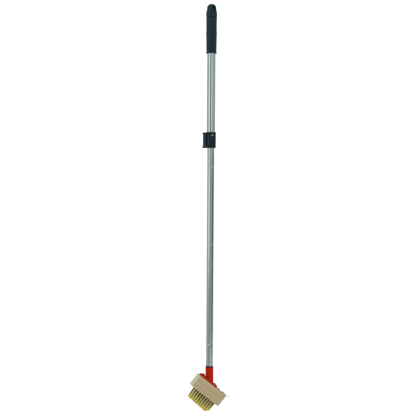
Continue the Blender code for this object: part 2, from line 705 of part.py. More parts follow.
def build_ferrule():
    """The threaded ferrule: a plug in the tube, a shoulder ring and a coarse male thread below it."""
    plug_top = LOWER_END + FERRULE_PLUG
    neck_z = LOWER_END + DIMPLE_HEIGHT
    slope_half = FERRULE_NECK_HALF + FERRULE_NECK_SLOPE
    shoulder = LOWER_END - FIT_GAP
    ring_end = SOCKET_TOP + FIT_GAP
    profile = [
        (0.0, plug_top), (SWAGE_R - FERRULE_NOSE, plug_top), (SWAGE_R, plug_top - FERRULE_NOSE),
        (SWAGE_R, neck_z + slope_half), (FERRULE_NECK_R, neck_z + FERRULE_NECK_HALF),
        (FERRULE_NECK_R, neck_z - FERRULE_NECK_HALF), (SWAGE_R, neck_z - slope_half),
        (SWAGE_R, shoulder), (FERRULE_RING_R - FERRULE_RING_CHAMFER, shoulder),
        (FERRULE_RING_R, shoulder - FERRULE_RING_CHAMFER), (FERRULE_RING_R, ring_end),
        (THREAD_ROOT_R, ring_end),
    ]
    first = SOCKET_TOP - THREAD_START
    for k in range(THREAD_TURNS):
        top = first - THREAD_PITCH * k
        profile += [(THREAD_ROOT_R, top), (THREAD_CREST_R, top - 0.5 * THREAD_PITCH)]
    thread_end = first - THREAD_PITCH * THREAD_TURNS
    profile += [(THREAD_ROOT_R, thread_end), (THREAD_ROOT_R - THREAD_NOSE_STEP, thread_end - THREAD_NOSE)]
    profile += [(0.0, thread_end - THREAD_NOSE)]
    add_object("threaded_ferrule", spun(profile, FERRULE_SEGMENTS, closed=False), COLLAR_BLACK)


# --- tufts --------------------------------------------------------------------------------------

def tuft_place(row, column):
    x = BLOCK_UPPER_END + TUFT_FIRST + TUFT_PITCH * column
    y = TUFT_ROW_PITCH * (row - 0.5 * (TUFT_ROWS - 1))
    return x, y


def tuft_solid(column):
    """A tuft's envelope: straight in its hole, then widening and leaning towards its tip."""
    root = -BLOCK_HEIGHT + TUFT_HOLE_DEPTH - FIT_GAP
    mouth = -BLOCK_HEIGHT - TUFT_STRAIGHT
    tip = -BLOCK_HEIGHT - TUFT_EXPOSED[column]
    profile = [
        (0.0, root), (TUFT_ROOT_R, root), (TUFT_ROOT_R, mouth),
        (TUFT_TIP_R, tip + TUFT_TIP_CHAMFER), (TUFT_TIP_R - TUFT_TIP_CHAMFER, tip), (0.0, tip),
    ]
    bm = spun(profile, TUFT_SIDES, closed=False)
    for vert in bm.verts:
        vert.co.x += TUFT_LEAN[column] * max(0.0, (mouth - vert.co.z) / (mouth - tip))
    return bm


def build_tufts():
    for row in range(TUFT_ROWS):
        for column in range(TUFT_COLUMNS):
            x, y = tuft_place(row, column)
            bm = tuft_solid(column)
            bmesh.ops.translate(bm, vec=(x, y, 0.0), verts=bm.verts)
            add_object(f"tuft_r{row + 1}_{column + 1:02d}", on_head(bm), BRASS_WIRE)


def build():
    clear_scene()
    build_cap()
    build_sleeve()
    build_outer_tube()
    build_pole_sections()
    build_guide_bush()
    build_collar()
    build_lever()
    build_lever_pin()
    build_pad()
    build_block()
    build_socket()
    build_screws()
    build_blade()
    build_ferrule()
    build_tufts()


build()
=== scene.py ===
"""Looks of the telescopic wire weed brush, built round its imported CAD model.

Shapes are made in millimetres and turned into metres as they become objects. The head's own
frame has x down the block's top face and z out of that face, as the CAD model has it.
"""

import math
import random

import bmesh
import bpy
from mathutils import Matrix, Vector


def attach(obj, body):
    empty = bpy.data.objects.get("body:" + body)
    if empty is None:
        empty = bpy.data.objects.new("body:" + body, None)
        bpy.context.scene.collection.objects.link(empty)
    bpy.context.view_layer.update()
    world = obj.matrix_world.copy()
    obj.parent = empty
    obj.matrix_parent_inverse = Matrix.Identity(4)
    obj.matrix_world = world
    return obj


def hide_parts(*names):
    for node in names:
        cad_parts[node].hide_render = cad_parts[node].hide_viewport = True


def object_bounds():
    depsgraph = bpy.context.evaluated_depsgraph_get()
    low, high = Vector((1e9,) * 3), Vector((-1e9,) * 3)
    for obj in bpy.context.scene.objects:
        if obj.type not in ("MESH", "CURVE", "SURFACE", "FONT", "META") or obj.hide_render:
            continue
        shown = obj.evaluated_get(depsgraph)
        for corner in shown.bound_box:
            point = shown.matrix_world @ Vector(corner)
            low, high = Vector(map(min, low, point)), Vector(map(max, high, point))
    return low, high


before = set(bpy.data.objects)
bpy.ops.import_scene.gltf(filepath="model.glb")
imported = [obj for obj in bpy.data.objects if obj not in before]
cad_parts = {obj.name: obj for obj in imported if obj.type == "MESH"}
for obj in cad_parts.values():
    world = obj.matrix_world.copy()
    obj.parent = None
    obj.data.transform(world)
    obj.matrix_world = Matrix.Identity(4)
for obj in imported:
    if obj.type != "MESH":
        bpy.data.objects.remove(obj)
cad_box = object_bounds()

scene = bpy.context.scene

MM = 0.001
SEED = 20261117
MERGE = 1e-5
SEGMENTS = 96

# Gap between touching pieces, and how far cutting shapes reach past what they cut
FIT_GAP = 0.3
CUT_PAST = 5.0

# The pole's axis, seen from above
AXIS = (0.0, 0.0)

# Heights along the pole, downwards from the hanging hole
CAP_TOP = 12.15
CAP_SEAT = -27.3
SLEEVE_END = -134.1
OUTER_TUBE_TOP = -29.3
OUTER_TUBE_END = -383.5
COLLAR_TOP = -368.1
COLLAR_END = -416.5
INNER_TUBE_TOP = -110.0
JOINT_1 = -470.2
JOINT_2 = -776.3
LOWER_END = -1089.4
SOCKET_TOP = -1094.0

# Tubes. A swage is the narrowed end that is pushed into the section above.
OUTER_R = 12.5
OUTER_BORE = 11.8
INNER_R = 10.5
INNER_BORE = 9.8
SWAGE_R = 9.5
SWAGE_BORE = 8.8
SWAGE_LENGTH = 63.5
SWAGE_NOSE = 2.5
SWAGE_TAPER = 0.4
GROOVE_1 = -403.5
GROOVE_2 = -710.9
GROOVE_3 = -1021.2
GROOVE_DEPTH = 0.6
GROOVE_UPPER = 0.6
GROOVE_LOWER = 4.6
GROOVE_STEPS = 10
SHOULDER_DROP = 0.3
SHOULDER_LENGTH = 2.2
SHOULDER_STEPS = 6
TUBE_SHARP = 10
DIMPLE_HEIGHT = 15.8
DIMPLE_TURN = 18.0
DIMPLE_DEPTH = 0.8
DIMPLE_REACH = 1.6
DIMPLE_ROOM = 4.0
DIMPLE_RINGS = 25
DIMPLE_RINGS_PER_MM = 3

# Hanging cap and sleeve
CAP_R = 16.5
CAP_RIM = 0.8
DOME_R = 13.6
DOME_BASE = 1.0
DOME_STEPS = 24
FLARE_LENGTH = 18.0
FLARE_STEPS = 16
PLUG_R = 11.5
PLUG_END = -45.0
PLUG_CHAMFER = 1.5
HOLE_WIDTH = 10.5
HOLE_HEIGHT = 17.6
HOLE_TURN = 26.0
# The hole's cross-sections: distance from the pole's axis and scale
HOLE_STATIONS = ((-22.0, 1.5), (-13.0, 1.16), (-8.5, 1.0), (8.5, 1.0), (13.0, 1.16), (22.0, 1.5))
SLEEVE_TOP_R = 16.1
SLEEVE_WAIST_R = 15.75
SLEEVE_WAIST_Z = -62.0
SLEEVE_SWELL_R = 16.3
SLEEVE_SWELL_Z = -73.5
SLEEVE_FOOT_R = 15.25
SLEEVE_LIP_R = 16.15
SLEEVE_LIP_HEIGHT = 3.6

# Clamp
COLLAR_R = 15.3
COLLAR_STEP = 0.25
PIN_X = -20.9
EAR_R = 5.6
EAR_TOP = COLLAR_TOP - 1.6
LEVER_TOP = -375.8
LEVER_END = -410.2
LEVER_CLEARANCE = 0.2
RECESS_R = 14.1
RECESS_START = 138.0
PLATE_INNER_R = 14.4
PLATE_OUTER_R = 16.0
PLATE_START = 202.5
PLATE_ROOT = 198.5
PLATE_END = 294.5
HUB_R = 3.8
CAM_R = 4.4
CAM_SWEEP = 115.0
CAM_STEPS = 28
HUB_START = 122.0
FACET_NORMAL = 233.13
FACET_CORNER = (-17.6, -7.2)
PLATE_CORNER = (-17.0, -4.4)
RIDGE_SPACING = 11.0
RIDGE_HALF = 0.8
RIDGE_HEIGHT = 0.5
RIDGE_SINK = 0.8
RIDGE_START = 226.0
RIDGE_END = 282.0
PIN_R = 1.75
PIN_SINK = 0.6
WINDOW_TOP = -388.9
WINDOW_END = -402.9
WINDOW_HALF = 4.1
WINDOW_OUTER = -20.0
WINDOW_INNER = -8.0

# Head. Bosses are (place along the head, height); screws (reach, head radius, head height).
HEAD_TILT = 40.4
HEAD_Z = -1143.0
BLOCK_LENGTH = 109.6
BLOCK_HEIGHT = 40.8
BLOCK_WIDTH = 30.5
BLOCK_ROUNDING = 0.9
END_FACE_AREA = 100.0
BLOCK_UPPER_END = -42.9
BLOCK_LOWER_END = BLOCK_UPPER_END + BLOCK_LENGTH
FLANGE_CENTRE = -6.4
FLANGE_LENGTH = 71.8
FLANGE_WIDTH = 24.5
FLANGE_THICKNESS = 5.8
BOSSES = ((-31.4, 9.0), (17.8, 6.8))
BOSS_R = 6.0
SOCKET_R = 12.3
SOCKET_BORE = 9.9
SOCKET_DEPTH = 31.0
FILLET_RUN = 2.6
FILLET_RISE = 2.6
SCREW_R = 1.9
PILOT_DEPTH = 19.0
THREAD_START = -1.5
THREAD_PITCH = 1.6
THREAD_DEPTH = 0.45
SCREW_SIZES = {"socket": (18.0, 3.8, 1.5), "scraper": (14.0, 3.4, 2.0)}
BLADE_START = 34.5
BLADE_END = 83.0
BLADE_WIDTH = 24.0
BLADE_TIP_WIDTH = 10.0
BLADE_THICKNESS = 1.2
BLADE_CORNER_R = 2.0
BLADE_EDGE = 0.22
BLADE_SCREWS = (39.4, 58.2)
FERRULE_PLUG = 34.0
FERRULE_RING_R = 11.45
FERRULE_NECK_R = 8.1
FERRULE_NECK_HALF = 4.0
FERRULE_ROOT_R = 8.4
FERRULE_CREST_R = 9.4
FERRULE_THREAD_START = 1.5
FERRULE_PITCH = 5.0
FERRULE_TURNS = 5

# Wire tufts
TUFT_COLUMNS = 10
TUFT_ROWS = 3
TUFT_FIRST = 16.5
TUFT_PITCH = 9.05
TUFT_ROW_PITCH = 7.2
TUFT_HOLE_R = 2.5
TUFT_HOLE_DEPTH = 13.0
TUFT_EXPOSED = (34.1, 33.9, 34.5, 35.6, 35.9, 36.3, 37.1, 37.8, 36.4, 29.8)
TUFT_LEAN = (3.2, 1.2, 0.5, 0.2, 0.0, -0.3, -0.7, -1.2, -2.0, -3.2)

# Wires of a tuft. Each wire carries two marks that its material reads: its painted shade, where the
# tufts beside it would shade it, and its painted sheen.
WIRES_PER_TUFT = 44
WIRE_R = 0.25
WIRE_SIDES = 4
WIRE_STEP = 1.7
SHORTEST_WIRE = 5.0
TRIM_STEP = 0.1
BOX_MARGIN = 0.12
GOLDEN_TURN = 2.39996
ROOT_DEPTH = 4.0
ROOT_SPREAD = 1.25
TIP_SPREAD_X = 3.7
TIP_SPREAD_Y = 3.0
END_SPREAD_X = 2.9
END_REACH = 1.8
END_LIMIT = 3.0
FAN_SHAPE = 1.5
CRIMP = 0.28
CRIMP_LENGTH = 6.5
CRIMP_START = 8.0
TURN_SCATTER = 0.2
REACH_SCATTER = 0.12
TIP_SCATTER = 0.4
LENGTH_SCATTER = 0.35
SHADE_NAME = "gap_shade"
SHEEN_NAME = "outer_sheen"
# Painted shade falls on wires inside the brush and on the flanks of each tuft; the rest get painted sheen.
SHADE_FROM = 7.9
SHADE_OVER = 1.3
FLANK_FROM = 0.45
FLANK_OVER = 0.4
SHEEN = 0.6

# Studio, in metres and degrees, with lens and sensor in millimetres
CAMERA_AZIMUTH = -16.0
CAMERA_DISTANCE = 2.247
CAMERA_HEIGHT = -0.410
CAMERA_TILT = 4.8
CAMERA_YAW = 0.19
CAMERA_ROLL = 0.34
CAMERA_LENS = 63.95
SENSOR_WIDTH = 36.0
FLOOR_Z = -1.62
FLOOR_HALF = 80.0
FLOOR_THICKNESS = 0.02
SKY = 1.10

# Softboxes: angle to the right of the camera, distance, height, width, length, brightness, colour
SOFTBOXES = {
    "key": (-50.0, 2.6, 0.2, 1.0, 2.6, 0.9, (1.0, 0.99, 0.97)),
    "fill": (24.0, 3.0, 0.5, 1.0, 2.4, 0.35, (0.97, 0.99, 1.0)),
}
SOFTBOX_AIM = -0.65

# What shiny things see round the brush: an even grey, with soft upright strips of light and dark
# flags. Each is its angle in degrees from the line between brush and camera, to the right as the
# camera sees it, its reach to either side, what it adds, and the elevations that it stands between.
SURROUND = 0.39
STRIPS = {
    "key_strip": (-48.0, 36.0, 0.62, -9.0, 90.0),
    "camera_gap": (-17.0, 24.0, -0.22, -90.0, 90.0),
    "camera_body": (-17.0, 20.0, -0.25, 0.0, 90.0),
    "fill_strip": (15.0, 32.0, 0.36, 0.0, 90.0),
    "side_flag": (84.0, 58.0, -0.30, -15.5, 0.0),
    "floor_glow": (40.0, 50.0, 0.28, -90.0, -15.5),
}
STRIP_SOFTNESS = 1.4

HEAD = Matrix.Translation((0.0, 0.0, HEAD_Z)) @ Matrix.Rotation(math.radians(HEAD_TILT), 4, "Y")


# --- node trees

class Net:
    """Short calls for making a node tree."""

    def __init__(self, name, on_head=False):
        self.mat = bpy.data.materials.new(name)
        self.mat.use_nodes = True
        self.tree = self.mat.node_tree
        self.shader = self.tree.nodes["Principled BSDF"]
        self.on_head = on_head

    def put(self, socket, value):
        if hasattr(value, "is_output"):
            self.tree.links.new(value, socket)
        elif isinstance(value, tuple) and len(value) == 3 and len(socket.default_value) == 4:
            socket.default_value = (*value, 1.0)
        else:
            socket.default_value = value

    def node(self, kind, out=0, settings=None, **inputs):
        made = self.tree.nodes.new(kind)
        for key, value in (settings or {}).items():
            setattr(made, key, value)
        for key, value in inputs.items():
            self.put(made.inputs[int(key[1:]) if key[0] == "i" and key[1:].isdigit() else key], value)
        return made.outputs[out]

    def place(self, scale=(1.0, 1.0, 1.0), turn=(0.0, 0.0, 0.0)):
        """Places on the piece in millimetres, or in the head's own frame, stretched by scale."""
        coord = self.node("ShaderNodeTexCoord", "Object")
        stand = {"Scale": (MM, MM, MM)}
        if self.on_head:
            stand["Location"] = (0.0, 0.0, HEAD_Z * MM)
            stand["Rotation"] = (0.0, math.radians(HEAD_TILT), 0.0)
        own = self.node("ShaderNodeMapping", settings={"vector_type": "TEXTURE"}, i0=coord, **stand)
        return self.node("ShaderNodeMapping", i0=own, Scale=scale, Rotation=turn)

    def noise(self, vector, scale, detail=3.0, roughness=0.55, distortion=0.0):
        return self.node("ShaderNodeTexNoise", "Fac", Vector=vector, Scale=scale, Detail=detail,
                         Roughness=roughness, Distortion=distortion)

    def streaks(self, stretch, detail, roughness=0.55, distortion=0.0):
        """Noise in millimetres, with so many features to the millimetre along each axis."""
        return self.noise(self.place(stretch), 1.0, detail, roughness, distortion)

    def math(self, operation, a, b=0.0):
        return self.node("ShaderNodeMath", settings={"operation": operation}, i0=a, i1=b)

    def span(self, value, low, high, to_low=0.0, to_high=1.0):
        """Map value from low..high to to_low..to_high, clamped."""
        return self.node("ShaderNodeMapRange", settings={"clamp": True}, i0=value, i1=low, i2=high,
                         i3=to_low, i4=to_high)

    def mix(self, factor, a, b):
        made = self.tree.nodes.new("ShaderNodeMix")
        made.data_type = "RGBA"
        self.put(made.inputs[0], factor)
        self.put(made.inputs[6], a)
        self.put(made.inputs[7], b)
        return made.outputs[2]

    def bump(self, height, strength, distance=0.0002, normal=None):
        made = self.tree.nodes.new("ShaderNodeBump")
        made.inputs["Strength"].default_value = strength
        made.inputs["Distance"].default_value = distance
        self.put(made.inputs["Height"], height)
        if normal is not None:
            self.put(made.inputs["Normal"], normal)
        return made.outputs[0]

    def finish(self, **inputs):
        for key, value in inputs.items():
            self.put(self.shader.inputs[key.replace("_", " ")], value)
        return self.mat


COOL_SHEEN = (0.62, 0.86, 1.0)
# The pale colour of a painted highlight on plastic
PAINTED_HIGHLIGHT = (0.50, 0.56, 0.57)


def scaled(colour, factor, lift=0.0):
    return tuple(min(1.0, c * factor + lift) for c in colour)


def moulded_plastic(name, colour, light, rough, grain, specular, scuffs=0.25, highlight_at=None):
    """Moulded plastic: a fine spark-eroded grain, faint flow marks, rubbed places and, where a place is
    given, a painted highlight round it.
    """
    net = Net(name)
    place = net.place()
    mottle = net.noise(place, 0.05, 4.0)
    fine = net.noise(place, 2.4, 2.0)
    flow = net.streaks((0.16, 0.16, 0.02), 4.0, 0.6, 0.6)
    rubbed = net.span(net.streaks((0.35, 0.35, 0.08), 6.0, 0.7), 0.60, 0.74)
    tone = net.mix(net.span(mottle, 0.3, 0.7), colour, light)
    tone = net.mix(net.math("MULTIPLY", rubbed, scuffs), tone, scaled(colour, 1.6, 0.012))
    tone = net.mix(net.span(fine, 0.35, 0.75, 0.0, 0.22), tone, scaled(colour, 0.6))
    # A painted highlight: a pale patch round the given place, strongest at its middle.
    if highlight_at is not None:
        away = net.node("ShaderNodeVectorMath", "Vector", settings={"operation": "SUBTRACT"}, i0=place,
                        i1=highlight_at)
        away = net.node("ShaderNodeMapping", i0=away, Scale=(0.35, 0.35, 0.9))
        reach = net.node("ShaderNodeVectorMath", "Value", settings={"operation": "LENGTH"}, i0=away)
        tone = net.mix(net.span(reach, 0.3, 1.5, 0.85, 0.0), tone, PAINTED_HIGHLIGHT)
    roughness = net.math("ADD", net.span(flow, 0.3, 0.7, rough - 0.06, rough + 0.06),
                         net.math("MULTIPLY", rubbed, 0.10))
    coarse = net.bump(flow, 0.12, 0.0004)
    normal = net.bump(fine, grain, 0.00006, coarse)
    return net.finish(Base_Color=tone, Roughness=roughness, Normal=normal, Specular_IOR_Level=specular,
                      Specular_Tint=COOL_SHEEN)


def drawn_steel(name, colour, dark, rough, streak=1.0, spots=0.5):
    """Zinc-bright steel tube: draw lines, soft clouding, small dull spots and ring scratches."""
    net = Net(name)
    lines = net.streaks((1.3, 1.3, 0.012), 5.0, 0.65)
    cloud = net.streaks((0.06, 0.06, 0.018), 4.0, 0.6, 0.4)
    spot = net.span(net.noise(net.place(), 0.45, 6.0, 0.75), 0.62, 0.72)
    ring = net.span(net.streaks((0.06, 0.06, 3.2), 4.0, 0.7), 0.66, 0.78)
    tone = net.mix(net.span(lines, 0.3, 0.7, 0.0, streak), colour, dark)
    tone = net.mix(net.span(cloud, 0.35, 0.7, 0.0, 0.6), tone, dark)
    tone = net.mix(net.math("MULTIPLY", spot, spots), tone, scaled(dark, 0.55))
    roughness = net.math("ADD", net.span(cloud, 0.3, 0.75, rough - 0.04, rough + 0.06),
                         net.math("MULTIPLY", net.math("MAXIMUM", spot, ring), 0.12))
    normal = net.bump(lines, 0.10, 0.00012)
    normal = net.bump(ring, 0.08, 0.00006, normal)
    return net.finish(Base_Color=tone, Metallic=1.0, Roughness=roughness, Normal=normal)


def beech_wood(name):
    """Planed beech: long soft grain, short dark ray flecks and handling marks."""
    net = Net(name, on_head=True)
    long_grain = net.streaks((0.012, 0.55, 0.55), 6.0, 0.62, 0.5)
    bands = net.streaks((0.004, 0.12, 0.12), 3.0, 0.5, 0.8)
    flecks = net.span(net.streaks((0.22, 2.6, 2.6), 2.0, 0.5), 0.60, 0.70)
    pores = net.span(net.streaks((0.5, 5.0, 5.0), 2.0, 0.6), 0.58, 0.72)
    stain = net.span(net.streaks((0.03, 0.03, 0.03), 4.0, 0.6), 0.52, 0.75)
    tone = net.mix(net.span(bands, 0.35, 0.65), (0.398, 0.330, 0.192), (0.348, 0.280, 0.155))
    tone = net.mix(net.span(long_grain, 0.38, 0.68, 0.0, 0.65), tone, (0.310, 0.243, 0.127))
    tone = net.mix(net.math("MULTIPLY", flecks, 0.34), tone, (0.235, 0.160, 0.070))
    tone = net.mix(net.math("MULTIPLY", pores, 0.18), tone, (0.220, 0.150, 0.070))
    tone = net.mix(net.math("MULTIPLY", stain, 0.16), tone, (0.30, 0.26, 0.17))
    height = net.math("ADD", long_grain, net.math("MULTIPLY", pores, -0.8))
    saw = net.streaks((0.9, 0.05, 0.05), 3.0, 0.5)
    normal = net.bump(height, 0.30, 0.00012)
    normal = net.bump(saw, 0.10, 0.00015, normal)
    roughness = net.span(long_grain, 0.3, 0.7, 0.52, 0.68)
    return net.finish(Base_Color=tone, Roughness=roughness, Normal=normal, Specular_IOR_Level=0.30)


def end_grain_wood(name):
    """The block's sawn ends: curved year rings, paler and duller than its long faces."""
    net = Net(name, on_head=True)
    coord = net.place((0.0, 1.0, 1.0))
    moved = net.node("ShaderNodeMapping", i0=coord, Location=(0.0, 38.0, 62.0))
    warp = net.streaks((0.02, 0.05, 0.05), 3.0, 0.5)
    distance = net.node("ShaderNodeVectorMath", "Value", settings={"operation": "LENGTH"}, i0=moved)
    wobbly = net.math("ADD", distance, net.math("MULTIPLY", warp, 7.0))
    rings = net.math("SINE", net.math("MULTIPLY", wobbly, 2.3))
    speck = net.span(net.streaks((0.2, 3.0, 3.0), 3.0, 0.6), 0.55, 0.7)
    tone = net.mix(net.span(rings, -0.4, 1.0), (0.480, 0.465, 0.345), (0.390, 0.365, 0.255))
    tone = net.mix(net.math("MULTIPLY", speck, 0.30), tone, (0.25, 0.21, 0.13))
    saw = net.streaks((0.1, 0.08, 1.8), 3.0, 0.6)
    normal = net.bump(net.math("ADD", saw, net.math("MULTIPLY", speck, -0.5)), 0.30, 0.00018)
    return net.finish(Base_Color=tone, Roughness=net.span(saw, 0.3, 0.7, 0.66, 0.80), Normal=normal,
                      Specular_IOR_Level=0.22)


def plated_wire(name):
    """Brassed steel wire: painted sheen on the outside of a tuft, painted shade between tufts."""
    net = Net(name, on_head=True)
    each = net.node("ShaderNodeNewGeometry", "Random Per Island")
    gap = net.node("ShaderNodeAttribute", "Fac", settings={"attribute_name": SHADE_NAME})
    sheen = net.node("ShaderNodeAttribute", "Fac", settings={"attribute_name": SHEEN_NAME})
    place = net.place()
    depth = net.node("ShaderNodeSeparateXYZ", "Z", i0=place)
    # root is 1 near the block and 0 at the tips: painted shade and sheen fade towards the tips.
    root = net.span(depth, -72.0, -46.0)
    along = net.noise(place, 0.35, 4.0, 0.65)
    tone = net.mix(net.span(each, 0.0, 1.0), (0.95, 0.80, 0.10), (1.0, 0.96, 0.34))
    tone = net.mix(net.span(along, 0.52, 0.74, 0.0, 0.45), tone, (0.52, 0.38, 0.03))
    # Painted sheen: wires on the outside of the brush mixed towards pale cream.
    bright = net.math("MULTIPLY", sheen, net.span(root, 0.0, 1.0, 0.25, 1.0))
    tone = net.mix(bright, tone, (1.0, 1.0, 0.70))
    # Painted shade: wires between tufts and inside the brush darkened towards near-black brown.
    shaded = net.math("MULTIPLY", gap, net.span(root, 0.0, 1.0, 0.10, 1.0))
    tone = net.mix(net.math("MULTIPLY", shaded, 0.86), tone, (0.055, 0.038, 0.003))
    roughness = net.span(along, 0.3, 0.7, 0.26, 0.42)
    normal = net.bump(net.noise(place, 2.2, 2.0), 0.2, 0.00005)
    return net.finish(Base_Color=tone, Metallic=0.5, Roughness=roughness, Normal=normal,
                      Specular_IOR_Level=0.2)


def stamped_steel(name):
    """Pressed sheet steel: rolled grain, grey handling stains and bright rubbed scratches."""
    net = Net(name, on_head=True)
    rolled = net.streaks((0.05, 1.6, 1.6), 5.0, 0.6)
    stain = net.span(net.streaks((0.12, 0.12, 0.12), 5.0, 0.65), 0.45, 0.7)
    scratch = net.span(net.noise(net.place((0.10, 3.5, 0.5), (0.0, 0.0, 0.5)), 1.0, 3.0, 0.6), 0.66, 0.74)
    tone = net.mix(net.span(rolled, 0.3, 0.7), (0.80, 0.85, 0.85), (0.68, 0.74, 0.75))
    tone = net.mix(net.math("MULTIPLY", stain, 0.5), tone, (0.48, 0.53, 0.54))
    tone = net.mix(net.math("MULTIPLY", scratch, 0.5), tone, (0.80, 0.83, 0.83))
    normal = net.bump(rolled, 0.15, 0.0001)
    normal = net.bump(scratch, 0.1, 0.00006, normal)
    return net.finish(Base_Color=tone, Metallic=0.6, Roughness=net.span(stain, 0.0, 1.0, 0.30, 0.46),
                      Normal=normal)


def build_materials():
    grey = (0.0040, 0.0150, 0.0205)
    clamp = (0.0022, 0.0080, 0.0120)
    black = (0.0080, 0.0090, 0.0095)
    red = (0.345, 0.0110, 0.0006)
    nylon = (0.62, 0.62, 0.57)
    zinc = (0.70, 0.88, 0.82)
    # The lever gets a painted highlight round this place, on the top edge of its thumb plate.
    thumb_highlight = (-0.4, -16.0, LEVER_TOP - 1.8)
    return {
        "cap": moulded_plastic("cap_plastic", grey, scaled(grey, 1.25), 0.27, 0.16, 0.42),
        "grip": moulded_plastic("grip_rubber", grey, scaled(grey, 1.25), 0.29, 0.18, 0.40),
        "clamp": moulded_plastic("clamp_plastic", clamp, scaled(clamp, 1.3), 0.20, 0.14, 0.45),
        "lever": moulded_plastic("lever_plastic", clamp, scaled(clamp, 1.3), 0.20, 0.14, 0.45,
                                 highlight_at=thumb_highlight),
        "black": moulded_plastic("ferrule_plastic", black, scaled(black, 1.3), 0.38, 0.20, 0.20),
        "nylon": moulded_plastic("white_nylon", nylon, scaled(nylon, 1.1), 0.46, 0.15, 0.40, 0.1),
        "red": moulded_plastic("socket_plastic", red, scaled(red, 1.12), 0.32, 0.16, 0.05, 0.06),
        "tube_upper": drawn_steel("tube_steel_upper", zinc, (0.62, 0.78, 0.73), 0.09),
        "tube_inner": drawn_steel("tube_steel_inner", zinc, (0.60, 0.76, 0.71), 0.09),
        "tube_lower": drawn_steel("tube_steel_lower", (0.70, 0.88, 0.84), (0.58, 0.74, 0.70), 0.10),
        "fastener": drawn_steel("fastener_steel", (0.62, 0.68, 0.66), (0.42, 0.46, 0.44), 0.30, 0.6, 0.8),
        "wood": beech_wood("block_wood"),
        "wood_end": end_grain_wood("block_end_wood"),
        "blade": stamped_steel("blade_steel"),
        "wire": plated_wire("wire_brass"),
    }


# --- mesh helpers

def add_piece(name, bm, mat, flat_above=None):
    """Turn a bmesh in millimetres into an object in metres."""
    bmesh.ops.remove_doubles(bm, verts=bm.verts, dist=MERGE)
    bmesh.ops.recalc_face_normals(bm, faces=bm.faces)
    bmesh.ops.scale(bm, vec=(MM, MM, MM), verts=bm.verts)
    mesh = bpy.data.meshes.new(name)
    bm.to_mesh(mesh)
    bm.free()
    obj = bpy.data.objects.new(name, mesh)
    scene.collection.objects.link(obj)
    shade(obj, flat_above)
    if mat is not None:
        mesh.materials.append(mat)
    return obj


def shade(obj, flat_above=None):
    """Shade smoothly, with sharp edges above an angle in degrees if one is given."""
    obj.data.shade_smooth()
    if flat_above is not None:
        obj.data.set_sharp_from_angle(angle=math.radians(flat_above))


def apply_modifiers(obj):
    bpy.context.view_layer.update()
    evaluated = obj.evaluated_get(bpy.context.evaluated_depsgraph_get())
    mesh = bpy.data.meshes.new_from_object(evaluated)
    obj.modifiers.clear()
    obj.data = mesh


def combine(obj, tool_bm, operation):
    tool = add_piece("tool", tool_bm, None)
    modifier = obj.modifiers.new("combine", "BOOLEAN")
    modifier.operation = operation
    modifier.solver = "EXACT"
    modifier.object = tool
    apply_modifiers(obj)
    bpy.data.objects.remove(tool, do_unlink=True)


def cut(obj, tool_bm):
    combine(obj, tool_bm, "DIFFERENCE")


def join(obj, tool_bm):
    combine(obj, tool_bm, "UNION")


def moved(bm, matrix):
    bmesh.ops.transform(bm, matrix=matrix, verts=bm.verts)
    return bm


def on_head(bm):
    """Carry a bmesh in millimetres from the head's own frame to its place."""
    return moved(bm, HEAD)


def soften(obj, voxel, passes, keep):
    """Round every edge of a moulding: fine voxels, smoothing, then fewer faces."""
    remesh = obj.modifiers.new("remesh", "REMESH")
    remesh.mode = "VOXEL"
    remesh.voxel_size = voxel * MM
    remesh.adaptivity = 0.0
    smooth = obj.modifiers.new("smooth", "SMOOTH")
    smooth.factor = 0.5
    smooth.iterations = passes
    thin = obj.modifiers.new("thin", "DECIMATE")
    thin.ratio = keep
    apply_modifiers(obj)
    shade(obj)


def rounded(points, radius, steps=4):
    """Replace each corner of an open outline by a short curve of the given reach."""
    out = [points[0]]
    for before, corner, after in zip(points, points[1:], points[2:]):
        b, c, a = Vector(before), Vector(corner), Vector(after)
        reach = min(radius, 0.45 * (b - c).length, 0.45 * (a - c).length)
        start = c + (b - c).normalized() * reach
        end = c + (a - c).normalized() * reach
        for k in range(steps + 1):
            t = k / steps
            p = start * (1 - t) ** 2 + c * (2 * t * (1 - t)) + end * t ** 2
            out.append((p.x, p.y))
    out.append(points[-1])
    return out


def spun(profile, segments, closed=True):
    """Spin an (r, z) outline round the Z axis. An open outline ends on the axis at both ends."""
    bm = bmesh.new()
    verts = [bm.verts.new((r, 0.0, z)) for r, z in profile]
    edges = [bm.edges.new(pair) for pair in zip(verts, verts[1:])]
    if closed:
        edges.append(bm.edges.new((verts[-1], verts[0])))
    bmesh.ops.spin(bm, geom=verts + edges, cent=(0, 0, 0), axis=(0, 0, 1), angle=math.tau,
                   steps=segments, use_merge=True)
    bmesh.ops.remove_doubles(bm, verts=bm.verts, dist=MERGE)
    return bm


def add_wall(bm, near, far):
    """Fill the band between two equal rings of vertices."""
    for k in range(len(near)):
        following = (k + 1) % len(near)
        bm.faces.new((near[k], near[following], far[following], far[k]))


def lofted(rings):
    """Close a stack of equal rings of points into one solid."""
    bm = bmesh.new()
    loops = [[bm.verts.new(point) for point in ring] for ring in rings]
    for near, far in zip(loops, loops[1:]):
        add_wall(bm, near, far)
    bm.faces.new(loops[0])
    bm.faces.new(loops[-1])
    return bm


def extruded(outline, z_low, z_high):
    return lofted([[(x, y, z) for x, y in outline] for z in (z_low, z_high)])


def polar(radius, degrees):
    return (radius * math.cos(math.radians(degrees)), radius * math.sin(math.radians(degrees)))


def arc(centre, radius, start, end, steps):
    points = []
    for k in range(steps + 1):
        x, y = polar(radius, start + (end - start) * k / steps)
        points.append((centre[0] + x, centre[1] + y))
    return points


def circle(radius, segments, centre=AXIS):
    return arc(centre, radius, 0.0, 360.0 - 360.0 / segments, segments - 1)


def cylinder(radius, z_low, z_high, segments, centre=AXIS):
    return extruded(circle(radius, segments, centre), z_low, z_high)


